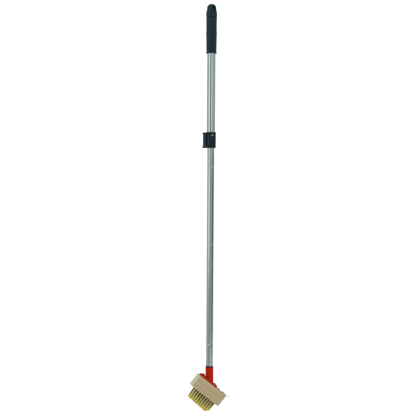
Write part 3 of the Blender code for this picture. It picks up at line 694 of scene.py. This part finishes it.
def add_cylinder(bm, radius, z_low, z_high, segments, x, y):
    """Add a closed cylinder to a bmesh that may hold others."""
    low = [bm.verts.new((px, py, z_low)) for px, py in circle(radius, segments, (x, y))]
    high = [bm.verts.new((v.co.x, v.co.y, z_high)) for v in low]
    add_wall(bm, low, high)
    bm.faces.new(low[::-1])
    bm.faces.new(high)


def smoothstep(t):
    t = min(max(t, 0.0), 1.0)
    return t * t * (3.0 - 2.0 * t)


def in_place(obj, body, slot, *nodes):
    """The piece rides on a body and stands for its CAD nodes; slot is not used."""
    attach(obj, body)
    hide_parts(*nodes)


# --- grip end

def hole_cutter():
    """The long hanging hole with its flared mouths."""
    half = 0.5 * HOLE_WIDTH
    straight = 0.5 * HOLE_HEIGHT - half
    ring = arc((0.0, straight), half, 0.0, 180.0, 16) + arc((0.0, -straight), half, 180.0, 360.0, 16)
    bm = lofted([[(x * scale, distance, z * scale) for x, z in ring] for distance, scale in HOLE_STATIONS])
    return moved(bm, Matrix.Rotation(math.radians(HOLE_TURN), 4, "Z"))


def build_cap(mats):
    dome_height = CAP_TOP - DOME_BASE
    profile = []
    for k in range(DOME_STEPS + 1):
        angle = 0.5 * math.pi * (1.0 - k / DOME_STEPS)
        profile.append((DOME_R * math.cos(angle) * (k > 0), DOME_BASE + dome_height * math.sin(angle)))
    for k in range(1, FLARE_STEPS + 1):
        t = k / FLARE_STEPS
        profile.append((DOME_R + (CAP_R - DOME_R) * smoothstep(t), DOME_BASE - FLARE_LENGTH * t))
    profile += [(CAP_R, CAP_SEAT + CAP_RIM), (CAP_R - CAP_RIM, CAP_SEAT), (PLUG_R, CAP_SEAT)]
    profile += [(PLUG_R, PLUG_END + PLUG_CHAMFER), (PLUG_R - PLUG_CHAMFER, PLUG_END), (0.0, PLUG_END)]
    cap = add_piece("grip_cap", spun(profile, SEGMENTS, closed=False), mats["cap"])
    cut(cap, hole_cutter())
    soften(cap, voxel=0.42, passes=5, keep=0.5)
    in_place(cap, "handle", "cap_plastic", "hang_cap")


def build_sleeve(mats):
    top = CAP_SEAT - FIT_GAP
    bore = OUTER_R + FIT_GAP
    lip = SLEEVE_END + SLEEVE_LIP_HEIGHT
    profile = [(bore, top), (SLEEVE_TOP_R, top), (SLEEVE_TOP_R - 0.05, top - 8.0)]
    profile += [(SLEEVE_WAIST_R, SLEEVE_WAIST_Z), (SLEEVE_WAIST_R + 0.12, SLEEVE_WAIST_Z - 3.0)]
    profile += [(SLEEVE_SWELL_R - 0.1, SLEEVE_SWELL_Z + 3.5), (SLEEVE_SWELL_R, SLEEVE_SWELL_Z)]
    profile += [(SLEEVE_SWELL_R - 0.12, SLEEVE_SWELL_Z - 4.5), (SLEEVE_FOOT_R, lip + 2.6)]
    profile += [(SLEEVE_FOOT_R, lip + 0.8), (SLEEVE_LIP_R, lip)]
    profile += [(SLEEVE_LIP_R, SLEEVE_END), (bore, SLEEVE_END), (bore, top)]
    outline = rounded(profile, 0.7, 5)[:-1]
    sleeve = add_piece("grip_sleeve_moulding", spun(outline, SEGMENTS), mats["grip"])
    in_place(sleeve, "handle", "grip_rubber", "grip_sleeve")


# --- tubes

def groove(radius, middle):
    """A crimped groove: a short upper flank and a long lower flank that eases back out."""
    floor = middle + 0.5 * GROOVE_LOWER
    points = [(radius, floor + GROOVE_UPPER), (radius - 0.12, floor + 0.8 * GROOVE_UPPER)]
    points.append((radius - 0.95 * GROOVE_DEPTH, floor + 0.15 * GROOVE_UPPER))
    for k in range(GROOVE_STEPS + 1):
        t = k / GROOVE_STEPS
        points.append((radius - GROOVE_DEPTH * (1.0 - t) ** 2, floor - GROOVE_LOWER * t))
    return points


def shoulder_curve(top):
    """The shoulder under a joint: it starts narrow and eases out to the full tube."""
    points = []
    for k in range(SHOULDER_STEPS + 1):
        t = k / SHOULDER_STEPS
        points.append((INNER_R - SHOULDER_DROP * (1.0 - t) ** 2, top - SHOULDER_LENGTH * t))
    return points


def rolled_end(radius, bore, z, side):
    """A rounded tube end, from outside to inside; side is +1 at an upper end."""
    middle = 0.5 * (radius + bore)
    half = 0.5 * (radius - bore)
    return [(middle + half * math.cos(a), z - side * half * (1.0 - math.sin(a)))
            for a in (math.pi * k / 8 for k in range(9))]


def section_outline(joint_above, groove_z, end):
    """A pole section's wall, from its upper end down its outside and back up its inside."""
    outside = []
    inside = []
    if joint_above is None:
        start = rolled_end(INNER_R, INNER_BORE, INNER_TUBE_TOP, 1)
    else:
        shoulder = joint_above - 0.5 * FIT_GAP
        nose = shoulder + SWAGE_LENGTH
        start = rolled_end(SWAGE_R - SWAGE_TAPER, SWAGE_BORE - SWAGE_TAPER, nose, 1)
        outside += [(SWAGE_R, nose - SWAGE_NOSE), (SWAGE_R, shoulder + 0.05), (SWAGE_R + 0.1, shoulder)]
        outside += shoulder_curve(shoulder)
        inside += [(SWAGE_BORE, nose - SWAGE_NOSE), (SWAGE_BORE, shoulder - 2.0)]
        inside += [(INNER_BORE, shoulder - 3.2)]
    outside += groove(INNER_R, groove_z)
    inside += groove(INNER_BORE, groove_z)
    if end == LOWER_END:
        high = end + DIMPLE_HEIGHT + DIMPLE_ROOM
        outside += [(INNER_R, high - k / DIMPLE_RINGS_PER_MM) for k in range(DIMPLE_RINGS)]
    return start[::-1] + outside + rolled_end(INNER_R, INNER_BORE, end, -1) + inside[::-1]


def build_tubes(mats):
    outline = rolled_end(OUTER_R, OUTER_BORE, OUTER_TUBE_TOP, 1)
    outline += rolled_end(OUTER_R, OUTER_BORE, OUTER_TUBE_END, -1)[::-1]
    outer = add_piece("tube_outer", spun(outline, SEGMENTS), mats["tube_upper"], flat_above=TUBE_SHARP)
    in_place(outer, "handle", "tube_steel", "outer_tube")
    sections = (
        ("tube_inner", "inner_tube", None, GROOVE_1, JOINT_1 + 0.5 * FIT_GAP, "tube_inner"),
        ("tube_middle", "middle_section", JOINT_1, GROOVE_2, JOINT_2 + 0.5 * FIT_GAP, "tube_inner"),
        ("tube_lower", "lower_section", JOINT_2, GROOVE_3, LOWER_END, "tube_lower"),
    )
    for name, node, joint, groove_z, end, mat in sections:
        bm = spun(section_outline(joint, groove_z, end), SEGMENTS)
        if end == LOWER_END:
            press_dimple(bm, end + DIMPLE_HEIGHT)
        piece = add_piece(name, bm, mats[mat], flat_above=TUBE_SHARP)
        in_place(piece, "lower_pole", "tube_steel", node)


def press_dimple(bm, z):
    """Press a small round dent into the tube's outside."""
    x, y = polar(INNER_R, -90.0 + DIMPLE_TURN)
    centre = Vector((x, y, z))
    for v in bm.verts:
        if math.hypot(v.co.x, v.co.y) < INNER_R - 0.1:
            continue
        depth = DIMPLE_DEPTH * math.exp(-((v.co - centre).length / DIMPLE_REACH) ** 2)
        v.co += Vector((-v.co.x, -v.co.y, 0.0)).normalized() * depth


# --- clamp

def build_collar(mats):
    tangent = math.degrees(math.acos((COLLAR_R - EAR_R) / -PIN_X))
    outline = arc(AXIS, COLLAR_R, -180.0 + tangent, 180.0 - tangent, 90)
    outline += arc((PIN_X, 0.0), EAR_R, 180.0 - tangent, 180.0 + tangent, 24)
    collar = add_piece("clamp_collar", extruded(outline, COLLAR_END, EAR_TOP), mats["clamp"])
    join(collar, cylinder(COLLAR_R - COLLAR_STEP, EAR_TOP - 2.0, COLLAR_TOP, SEGMENTS))
    recess_end = PLATE_END + 2.5
    floor = arc(AXIS, RECESS_R, RECESS_START, recess_end, 60)
    outer = arc(AXIS, COLLAR_R + 12.0, recess_end, RECESS_START, 60)
    cut(collar, extruded(floor + outer, LEVER_END - LEVER_CLEARANCE, LEVER_TOP + LEVER_CLEARANCE))
    above = COLLAR_TOP + CUT_PAST
    below = COLLAR_END - CUT_PAST
    seat = OUTER_TUBE_END - FIT_GAP
    upper_bore = OUTER_R + FIT_GAP
    lower_bore = INNER_R + FIT_GAP
    bore = [(0.0, above), (upper_bore, above), (upper_bore, seat)]
    bore += [(lower_bore, seat), (lower_bore, below), (0.0, below)]
    cut(collar, spun(bore, SEGMENTS, closed=False))
    window = [(WINDOW_OUTER, -WINDOW_HALF), (WINDOW_INNER, -WINDOW_HALF)]
    window += [(WINDOW_INNER, WINDOW_HALF), (WINDOW_OUTER, WINDOW_HALF)]
    cut(collar, extruded(window, WINDOW_END, WINDOW_TOP))
    cut(collar, cylinder(PIN_R + FIT_GAP, below, above, 32, (PIN_X, 0.0)))
    soften(collar, voxel=0.36, passes=3, keep=0.45)
    in_place(collar, "handle", "clamp_plastic", "collar_body")


def lever_outline():
    """The lever's plan: cam and hub round the pin, a flat thumb facet and the wrapping plate."""
    pin = (PIN_X, 0.0)
    outline = []
    for k in range(CAM_STEPS + 1):
        x, y = polar(CAM_R - (CAM_R - HUB_R) * k / CAM_STEPS, CAM_SWEEP * k / CAM_STEPS)
        outline.append((PIN_X + x, y))
    outline += arc(pin, HUB_R, HUB_START, FACET_NORMAL, 20)
    outline.append(FACET_CORNER)
    outline += arc(AXIS, PLATE_OUTER_R, PLATE_START, PLATE_END - 2.0, 44)
    outline.append(polar(PLATE_OUTER_R - 0.6, PLATE_END))
    outline.append(polar(PLATE_INNER_R, PLATE_END))
    outline += arc(AXIS, PLATE_INNER_R, PLATE_END - 3.0, PLATE_ROOT, 44)
    outline.append(PLATE_CORNER)
    outline += arc(pin, CAM_R, -35.0, -6.0, 6)
    return outline


def build_lever(mats):
    lever = add_piece("clamp_lever", extruded(lever_outline(), LEVER_END, LEVER_TOP), mats["lever"])
    middle = 0.5 * (LEVER_TOP + LEVER_END)
    for side in (-1, 0, 1):
        height = middle + side * RIDGE_SPACING
        ridge = arc(AXIS, PLATE_OUTER_R + RIDGE_HEIGHT, RIDGE_START, RIDGE_END, 32)
        ridge += arc(AXIS, PLATE_OUTER_R - RIDGE_SINK, RIDGE_END, RIDGE_START, 32)
        join(lever, extruded(ridge, height - RIDGE_HALF, height + RIDGE_HALF))
    cut(lever, cylinder(PIN_R + 0.1, LEVER_END - CUT_PAST, LEVER_TOP + CUT_PAST, 32, (PIN_X, 0.0)))
    soften(lever, voxel=0.3, passes=3, keep=0.5)
    in_place(lever, "lever", "clamp_plastic", "cam_lever")


def build_pin(mats):
    top = EAR_TOP - PIN_SINK
    end = COLLAR_END + PIN_SINK
    profile = [(0.0, top), (PIN_R, top), (PIN_R, end), (0.0, end)]
    bm = spun(rounded(profile, 0.35, 3), 32, closed=False)
    bm = moved(bm, Matrix.Translation((PIN_X, 0.0, 0.0)))
    in_place(add_piece("clamp_pin", bm, mats["fastener"]), "handle", "fastener_steel", "lever_pin")


# --- head

def tuft_place(row, column):
    x = BLOCK_UPPER_END + TUFT_FIRST + TUFT_PITCH * column
    y = TUFT_ROW_PITCH * (row - 0.5 * (TUFT_ROWS - 1))
    return x, y


def build_block(mats):
    half = 0.5 * BLOCK_WIDTH
    corners = [(BLOCK_UPPER_END, -half), (BLOCK_LOWER_END, -half)]
    corners += [(BLOCK_LOWER_END, half), (BLOCK_UPPER_END, half)]
    bm = extruded(corners, -BLOCK_HEIGHT, 0.0)
    bmesh.ops.bevel(bm, geom=bm.edges[:], offset=BLOCK_ROUNDING, segments=4, affect="EDGES", profile=0.5)
    block = add_piece("wood_block", on_head(bm), mats["wood"])
    holes = bmesh.new()
    bottom = -BLOCK_HEIGHT - CUT_PAST
    for row in range(TUFT_ROWS):
        for column in range(TUFT_COLUMNS):
            x, y = tuft_place(row, column)
            add_cylinder(holes, TUFT_HOLE_R, bottom, -BLOCK_HEIGHT + TUFT_HOLE_DEPTH, 24, x, y)
    for x in [place for place, _ in BOSSES] + list(BLADE_SCREWS):
        add_cylinder(holes, SCREW_R + FIT_GAP, -PILOT_DEPTH, CUT_PAST, 20, x, 0.0)
    cut(block, on_head(holes))
    block.data.materials.clear()
    block.data.materials.append(mats["wood"])
    block.data.materials.append(mats["wood_end"])
    along = HEAD.to_3x3() @ Vector((1.0, 0.0, 0.0))
    for face in block.data.polygons:
        on_end = abs(face.normal.dot(along)) > 0.8 and face.area > END_FACE_AREA * MM * MM
        face.material_index = int(on_end)
    shade(block, 30)
    in_place(block, "lower_pole", "block_wood", "brush_block")


def socket_fillet():
    """The rounded thickening round the socket's foot, which leans like the socket."""
    slope = math.tan(math.radians(HEAD_TILT))
    half_run = SOCKET_R / math.cos(math.radians(HEAD_TILT))
    rings = []
    for level in (-1.0, 0.0, 0.15, 0.35, 0.6, 1.0):
        height = FLANGE_THICKNESS + FILLET_RISE * level
        run = half_run + FILLET_RUN * (1.0 - max(level, 0.0)) ** 2
        ring = [(x * run - height * slope, y * (SOCKET_R - 0.15), height) for x, y in circle(1.0, 64)]
        rings.append(ring)
    return on_head(lofted(rings))


def build_socket(mats):
    foot = HEAD_Z - 40.0
    profile = [(0.0, SOCKET_TOP), (SOCKET_R - 0.7, SOCKET_TOP), (SOCKET_R, SOCKET_TOP - 0.7)]
    profile += [(SOCKET_R, foot), (0.0, foot)]
    socket = add_piece("head_socket_moulding", spun(profile, SEGMENTS, closed=False), mats["red"])
    length, width = 90.0, 60.0
    below = [(-length, -width), (length, -width), (length, width), (-length, width)]
    cut(socket, on_head(extruded(below, -length, FIT_GAP + 0.4)))
    half_run = 0.5 * (FLANGE_LENGTH - FLANGE_WIDTH)
    flange = arc((FLANGE_CENTRE + half_run, 0.0), 0.5 * FLANGE_WIDTH, -90.0, 90.0, 32)
    flange += arc((FLANGE_CENTRE - half_run, 0.0), 0.5 * FLANGE_WIDTH, 90.0, 270.0, 32)
    join(socket, on_head(extruded(flange, FIT_GAP, FLANGE_THICKNESS)))
    join(socket, socket_fillet())
    for x, height in BOSSES:
        join(socket, on_head(cylinder(BOSS_R, FLANGE_THICKNESS - 1.0, height, 40, (x, 0.0))))
        cut(socket, on_head(cylinder(SCREW_R + 0.35, -CUT_PAST, height + CUT_PAST, 24, (x, 0.0))))
    cut(socket, cylinder(SOCKET_BORE, SOCKET_TOP - SOCKET_DEPTH, SOCKET_TOP + CUT_PAST, 64))
    soften(socket, voxel=0.42, passes=4, keep=0.45)
    in_place(socket, "lower_pole", "socket_plastic", "head_socket")


def screw_outline(radius, height, length):
    """A pan head and a threaded shank, seated at z = 0."""
    profile = [(0.0, height)]
    for k in range(1, 9):
        angle = 0.5 * math.pi * k / 8
        reach = radius * math.sin(angle) ** 0.9
        profile.append((reach, height * (0.28 + 0.72 * max(0.0, math.cos(angle)) ** 0.8)))
    profile += [(radius, 0.1), (radius - 0.1, 0.0), (SCREW_R, 0.0)]
    root = SCREW_R - THREAD_DEPTH
    z = THREAD_START
    while z > 4.0 - length:
        profile += [(root, z), (root, z - 0.5 * THREAD_PITCH), (SCREW_R, z - 0.75 * THREAD_PITCH)]
        z -= THREAD_PITCH
    profile.append((0.0, -length))
    return profile


def recess_cutter(radius, height, angle):
    """One arm of the cross recess, narrowing towards its bottom."""
    rings = []
    for z, narrow in ((height - 1.3, 0.45), (height + 1.3, 1.0)):
        x = 0.55 * radius * narrow
        y = 0.45 * (0.6 + 0.4 * narrow)
        rings.append([(-x, -y, z), (x, -y, z), (x, y, z), (-x, y, z)])
    return moved(lofted(rings), Matrix.Rotation(math.radians(angle), 4, "Z"))


def build_screws(mats):
    blade_seat = BLADE_THICKNESS + 2.0 * FIT_GAP
    (upper_x, upper_height), (lower_x, lower_height) = BOSSES
    made = (
        ("socket_screw_upper", upper_x, upper_height + FIT_GAP, 18.0),
        ("socket_screw_lower", lower_x, lower_height + FIT_GAP, 51.0),
        ("scraper_screw_inner", BLADE_SCREWS[0], blade_seat, 63.0),
        ("scraper_screw_outer", BLADE_SCREWS[1], blade_seat, 27.0),
    )
    for node, x, seat, turn in made:
        reach, radius, height = SCREW_SIZES[node.split("_")[0]]
        stand = Matrix.Translation((x, 0.0, seat))
        bm = moved(spun(screw_outline(radius, height, seat + reach), 40, closed=False), stand)
        screw = add_piece(node + "_steel", on_head(bm), mats["fastener"])
        for angle in (turn, turn + 90.0):
            cut(screw, on_head(moved(recess_cutter(radius, height, angle), stand)))
        shade(screw, 34)
        in_place(screw, "lower_pole", "fastener_steel", node)


def build_blade(mats):
    half = 0.5 * BLADE_WIDTH
    tip = 0.5 * BLADE_TIP_WIDTH
    corners = [(BLADE_START, 0.0), (BLADE_START, -half), (BLOCK_LOWER_END, -half), (BLADE_END, -tip)]
    corners += [(BLADE_END, tip), (BLOCK_LOWER_END, half), (BLADE_START, half), (BLADE_START, 0.0)]
    bm = extruded(rounded(corners, BLADE_CORNER_R, 5)[:-1], FIT_GAP, FIT_GAP + BLADE_THICKNESS)
    bmesh.ops.bevel(bm, geom=bm.edges[:], offset=BLADE_EDGE, segments=2, affect="EDGES", profile=0.5)
    blade = add_piece("scraper_plate", on_head(bm), mats["blade"])
    holes = bmesh.new()
    for x in BLADE_SCREWS:
        add_cylinder(holes, SCREW_R + 0.35, -CUT_PAST, 8.0, 24, x, 0.0)
    cut(blade, on_head(holes))
    shade(blade, 30)
    in_place(blade, "lower_pole", "blade_steel", "scraper_blade")


def build_ferrule(mats):
    """The plug in the tube's end, its shoulder ring and a coarse thread below."""
    neck = LOWER_END + DIMPLE_HEIGHT
    top = LOWER_END + FERRULE_PLUG
    shoulder = LOWER_END - FIT_GAP
    ring_end = SOCKET_TOP + FIT_GAP
    half = FERRULE_NECK_HALF
    profile = [(0.0, top), (SWAGE_R - 1.0, top), (SWAGE_R, top - 1.0), (SWAGE_R, neck + half + 0.5)]
    profile += [(FERRULE_NECK_R, neck + half), (FERRULE_NECK_R, neck - half)]
    profile += [(SWAGE_R, neck - half - 0.5), (SWAGE_R, shoulder), (FERRULE_RING_R, shoulder)]
    profile += [(FERRULE_RING_R, ring_end), (FERRULE_ROOT_R, ring_end)]
    thread = SOCKET_TOP - FERRULE_THREAD_START
    for _ in range(FERRULE_TURNS):
        profile += [(FERRULE_ROOT_R, thread), (FERRULE_CREST_R, thread - 0.5 * FERRULE_PITCH)]
        thread -= FERRULE_PITCH
    foot = thread - 1.2
    profile += [(FERRULE_ROOT_R, thread), (FERRULE_ROOT_R - 1.0, foot), (0.0, foot)]
    ferrule = add_piece("ferrule_moulding", spun(rounded(profile, 0.4, 3), 72, closed=False), mats["black"])
    in_place(ferrule, "lower_pole", "clamp_plastic", "threaded_ferrule")


# --- wires

def exposed_at(x, column):
    """How far below the block the wires reach at a place along it."""
    at = (x - BLOCK_UPPER_END - TUFT_FIRST - TUFT_LEAN[column]) / TUFT_PITCH
    at = min(max(at, 0.0), TUFT_COLUMNS - 1.0)
    low = min(int(at), TUFT_COLUMNS - 2)
    reach = TUFT_EXPOSED[low] + (TUFT_EXPOSED[low + 1] - TUFT_EXPOSED[low]) * (at - low)
    if column >= TUFT_COLUMNS - 2:
        reach = min(reach + END_REACH, TUFT_EXPOSED[column] + END_LIMIT)
    return reach


def wire_path(start, tip, depth, rng):
    """A crimped wire's centre line, fanning out from start to tip below the block."""
    lean = rng.uniform(0.0, math.tau)
    phase = rng.uniform(0.0, math.tau)
    size = CRIMP * rng.uniform(0.6, 1.3)
    length = depth + ROOT_DEPTH
    steps = max(3, round(length / WIRE_STEP))
    points = []
    for k in range(steps + 1):
        along = length * k / steps
        spread = max(0.0, (along - ROOT_DEPTH) / depth) ** FAN_SHAPE
        grow = smoothstep((along - ROOT_DEPTH) / CRIMP_START)
        wave = size * grow * math.sin(phase + math.tau * along / CRIMP_LENGTH)
        x = start[0] + (tip[0] - start[0]) * spread + wave * math.cos(lean)
        y = start[1] + (tip[1] - start[1]) * spread + wave * math.sin(lean)
        points.append(Vector((x, y, ROOT_DEPTH - BLOCK_HEIGHT - along)))
    return points


def add_wire(bm, points, radius, turn, marks):
    """A thin closed tube along the points, marked with its painted shade and painted sheen."""
    layers = [bm.verts.layers.float[name] for name in (SHADE_NAME, SHEEN_NAME)]
    rings = []
    for k, p in enumerate(points):
        ahead = points[min(k + 1, len(points) - 1)] - points[max(k - 1, 0)]
        side = ahead.cross(Vector((0.0, 1.0, 0.0))).normalized()
        other = ahead.cross(side).normalized()
        ring = []
        for s in range(WIRE_SIDES):
            angle = turn + math.tau * s / WIRE_SIDES
            vert = bm.verts.new(p + (side * math.cos(angle) + other * math.sin(angle)) * radius)
            for layer, mark in zip(layers, marks):
                vert[layer] = mark
            ring.append(vert)
        rings.append(ring)
    for near, far in zip(rings, rings[1:]):
        add_wall(bm, near, far)
    bm.faces.new(rings[0][::-1])
    bm.faces.new(rings[-1])


def wire_marks(column, side, y):
    """A wire's painted shade and painted sheen: side is -1 to 1 across its tuft, y its place on the block.
    """
    # Painted shade for wires inside the brush and on a tuft's flanks, but not on the outer flanks of the
    # end tufts; painted sheen for the rest.
    inside = min(max((SHADE_FROM - abs(y)) / SHADE_OVER, 0.0), 1.0)
    flank = min(max((abs(side) - FLANK_FROM) / FLANK_OVER, 0.0), 1.0)
    if (column == 0 and side < 0.0) or (column == TUFT_COLUMNS - 1 and side > 0.0):
        flank = 0.0
    shaded = max(inside, flank)
    return shaded, (1.0 - shaded) * SHEEN


def trimmed(x, y, depth, lowest, leftmost):
    """Shorten a wire whose tip would pass the brush's lowest or leftmost place."""
    while depth > SHORTEST_WIRE:
        tip = HEAD @ Vector((x, y, -BLOCK_HEIGHT - depth))
        if tip.z - WIRE_R > lowest and tip.x - 2.0 * WIRE_R > leftmost:
            break
        depth -= TRIM_STEP
    return depth


def build_tufts(mats):
    rng = random.Random(SEED)
    leftmost = cad_box[0][0] / MM + BOX_MARGIN
    lowest = cad_box[0][2] / MM + BOX_MARGIN
    for row in range(TUFT_ROWS):
        for column in range(TUFT_COLUMNS):
            bx, by = tuft_place(row, column)
            spread_x = END_SPREAD_X if column == 0 else TIP_SPREAD_X
            bm = bmesh.new()
            for mark in (SHADE_NAME, SHEEN_NAME):
                bm.verts.layers.float.new(mark)
            for k in range(WIRES_PER_TUFT):
                r = math.sqrt((k + 0.5) / WIRES_PER_TUFT)
                a = k * GOLDEN_TURN + rng.uniform(-TURN_SCATTER, TURN_SCATTER)
                start = (bx + ROOT_SPREAD * r * math.cos(a), by + ROOT_SPREAD * r * math.sin(a))
                reach = r + rng.uniform(-REACH_SCATTER, REACH_SCATTER)
                x1 = bx + TUFT_LEAN[column] + spread_x * reach * math.cos(a)
                x1 += rng.uniform(-TIP_SCATTER, TIP_SCATTER)
                y1 = by + TIP_SPREAD_Y * reach * math.sin(a) + rng.uniform(-TIP_SCATTER, TIP_SCATTER)
                depth = exposed_at(x1, column) - abs(rng.gauss(0.0, LENGTH_SCATTER))
                depth = trimmed(x1, y1, depth, lowest, leftmost)
                path = wire_path(start, (x1, y1), depth, rng)
                marks = wire_marks(column, reach * math.cos(a), start[1])
                add_wire(bm, path, WIRE_R, rng.uniform(0.0, math.tau), marks)
            name = f"tuft_r{row + 1}_{column + 1:02d}"
            piece = add_piece("wires_" + name[5:], on_head(bm), mats["wire"])
            in_place(piece, "lower_pole", "wire_brass", name)


# --- studio

def build_camera():
    camera = bpy.data.objects.new("camera", bpy.data.cameras.new("camera"))
    scene.collection.objects.link(camera)
    azimuth = math.radians(CAMERA_AZIMUTH)
    place = Vector((math.sin(azimuth), -math.cos(azimuth), 0.0)) * CAMERA_DISTANCE
    place.z = CAMERA_HEIGHT
    turn = Matrix.Rotation(azimuth + math.radians(CAMERA_YAW), 4, "Z")
    turn = turn @ Matrix.Rotation(math.radians(90.0 - CAMERA_TILT), 4, "X")
    turn = turn @ Matrix.Rotation(math.radians(CAMERA_ROLL), 4, "Z")
    camera.matrix_world = Matrix.Translation(place) @ turn
    camera.data.lens = CAMERA_LENS
    camera.data.sensor_width = SENSOR_WIDTH
    camera.data.clip_end = 400.0
    scene.camera = camera


def build_world():
    """White surroundings. Reflections see the surround and its strips instead."""
    world = bpy.data.worlds.new("studio")
    scene.world = world
    world.use_nodes = True
    world.cycles.sampling_method = "NONE"
    tree = world.node_tree

    def new(kind, **settings):
        node = tree.nodes.new(kind)
        for key, value in settings.items():
            setattr(node, key, value)
        return node

    def put(socket, value):
        if hasattr(value, "is_output"):
            tree.links.new(value, socket)
        else:
            socket.default_value = value

    def calc(operation, *values):
        node = new("ShaderNodeMath", operation=operation)
        for socket, value in zip(node.inputs, values):
            put(socket, value)
        return node.outputs[0]

    def fade(value, start, end):
        """From 0 at start to 1 at end."""
        node = new("ShaderNodeMapRange", interpolation_type="SMOOTHSTEP")
        for socket, number in zip(node.inputs, (value, start, end)):
            put(socket, number)
        return node.outputs[0]

    split = new("ShaderNodeSeparateXYZ")
    put(split.inputs[0], new("ShaderNodeTexCoord").outputs["Generated"])
    east = calc("ARCTAN2", split.outputs[1], split.outputs[0])
    angle = calc("MULTIPLY_ADD", east, math.degrees(1.0), 90.0 - CAMERA_AZIMUTH)
    angle = calc("WRAP", angle, 180.0, -180.0)
    elevation = calc("MULTIPLY", calc("ARCSINE", split.outputs[2]), math.degrees(1.0))
    level = SURROUND
    for centre, reach, gain, low, high in STRIPS.values():
        away = calc("ABSOLUTE", calc("SUBTRACT", angle, centre))
        shape = calc("MULTIPLY", fade(away, reach, 0.0), gain)
        shape = calc("MULTIPLY", shape, fade(elevation, low - STRIP_SOFTNESS, low + STRIP_SOFTNESS))
        shape = calc("MULTIPLY", shape, fade(elevation, high + STRIP_SOFTNESS, high - STRIP_SOFTNESS))
        level = calc("ADD", level, shape)
    level = calc("MAXIMUM", level, 0.0)
    glossy = new("ShaderNodeLightPath").outputs["Is Glossy Ray"]
    seen = new("ShaderNodeMix", data_type="RGBA")
    for place, value in ((0, glossy), (6, (SKY, SKY, SKY, 1.0)), (7, level)):
        put(seen.inputs[place], value)
    put(tree.nodes["Background"].inputs[0], seen.outputs[2])


def add_softbox(name, azimuth, distance, height, width, tall, level, colour):
    """A tall soft light aimed at the middle of the brush. level is the brightness of its face."""
    light = bpy.data.lights.new(name, "AREA")
    light.shape = "RECTANGLE"
    light.size = width
    light.size_y = tall
    light.energy = level * math.pi * width * tall
    light.color = colour
    obj = bpy.data.objects.new(name, light)
    scene.collection.objects.link(obj)
    x, y = polar(distance, azimuth - 90.0)
    obj.location = (x, y, height)
    target = Vector((0.0, 0.0, SOFTBOX_AIM))
    obj.rotation_euler = (target - obj.location).to_track_quat("-Z", "Y").to_euler()
    obj.visible_glossy = False


def build_floor():
    half = FLOOR_HALF / MM
    outline = [(-half, -half), (half, -half), (half, half), (-half, half)]
    bm = extruded(outline, (FLOOR_Z - FLOOR_THICKNESS) / MM, FLOOR_Z / MM)
    net = Net("floor_paper")
    fibre = net.streaks((0.002, 0.002, 0.002), 2.0)
    tone = net.mix(fibre, (0.97, 0.97, 0.97), (0.95, 0.95, 0.95))
    net.finish(Base_Color=tone, Roughness=0.9, Specular_IOR_Level=0.0)
    floor = add_piece("floor", bm, net.mat, flat_above=30)
    floor.visible_glossy = False


def build_studio():
    build_camera()
    build_world()
    build_floor()
    for name, (angle, *rest) in SOFTBOXES.items():
        add_softbox(name, CAMERA_AZIMUTH + angle, *rest)
    view = scene.view_settings
    view.view_transform = "Standard"
    view.look = "None"


def build():
    mats = build_materials()
    build_studio()
    builders = (build_cap, build_sleeve, build_tubes, build_collar, build_lever, build_pin, build_block,
                build_socket, build_screws, build_blade, build_ferrule, build_tufts)
    for build_piece in builders:
        build_piece(mats)
    for name in ("guide_bush", "pressure_pad"):
        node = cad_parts[name]
        node.data.materials.clear()
        node.data.materials.append(mats["nylon"])


build()
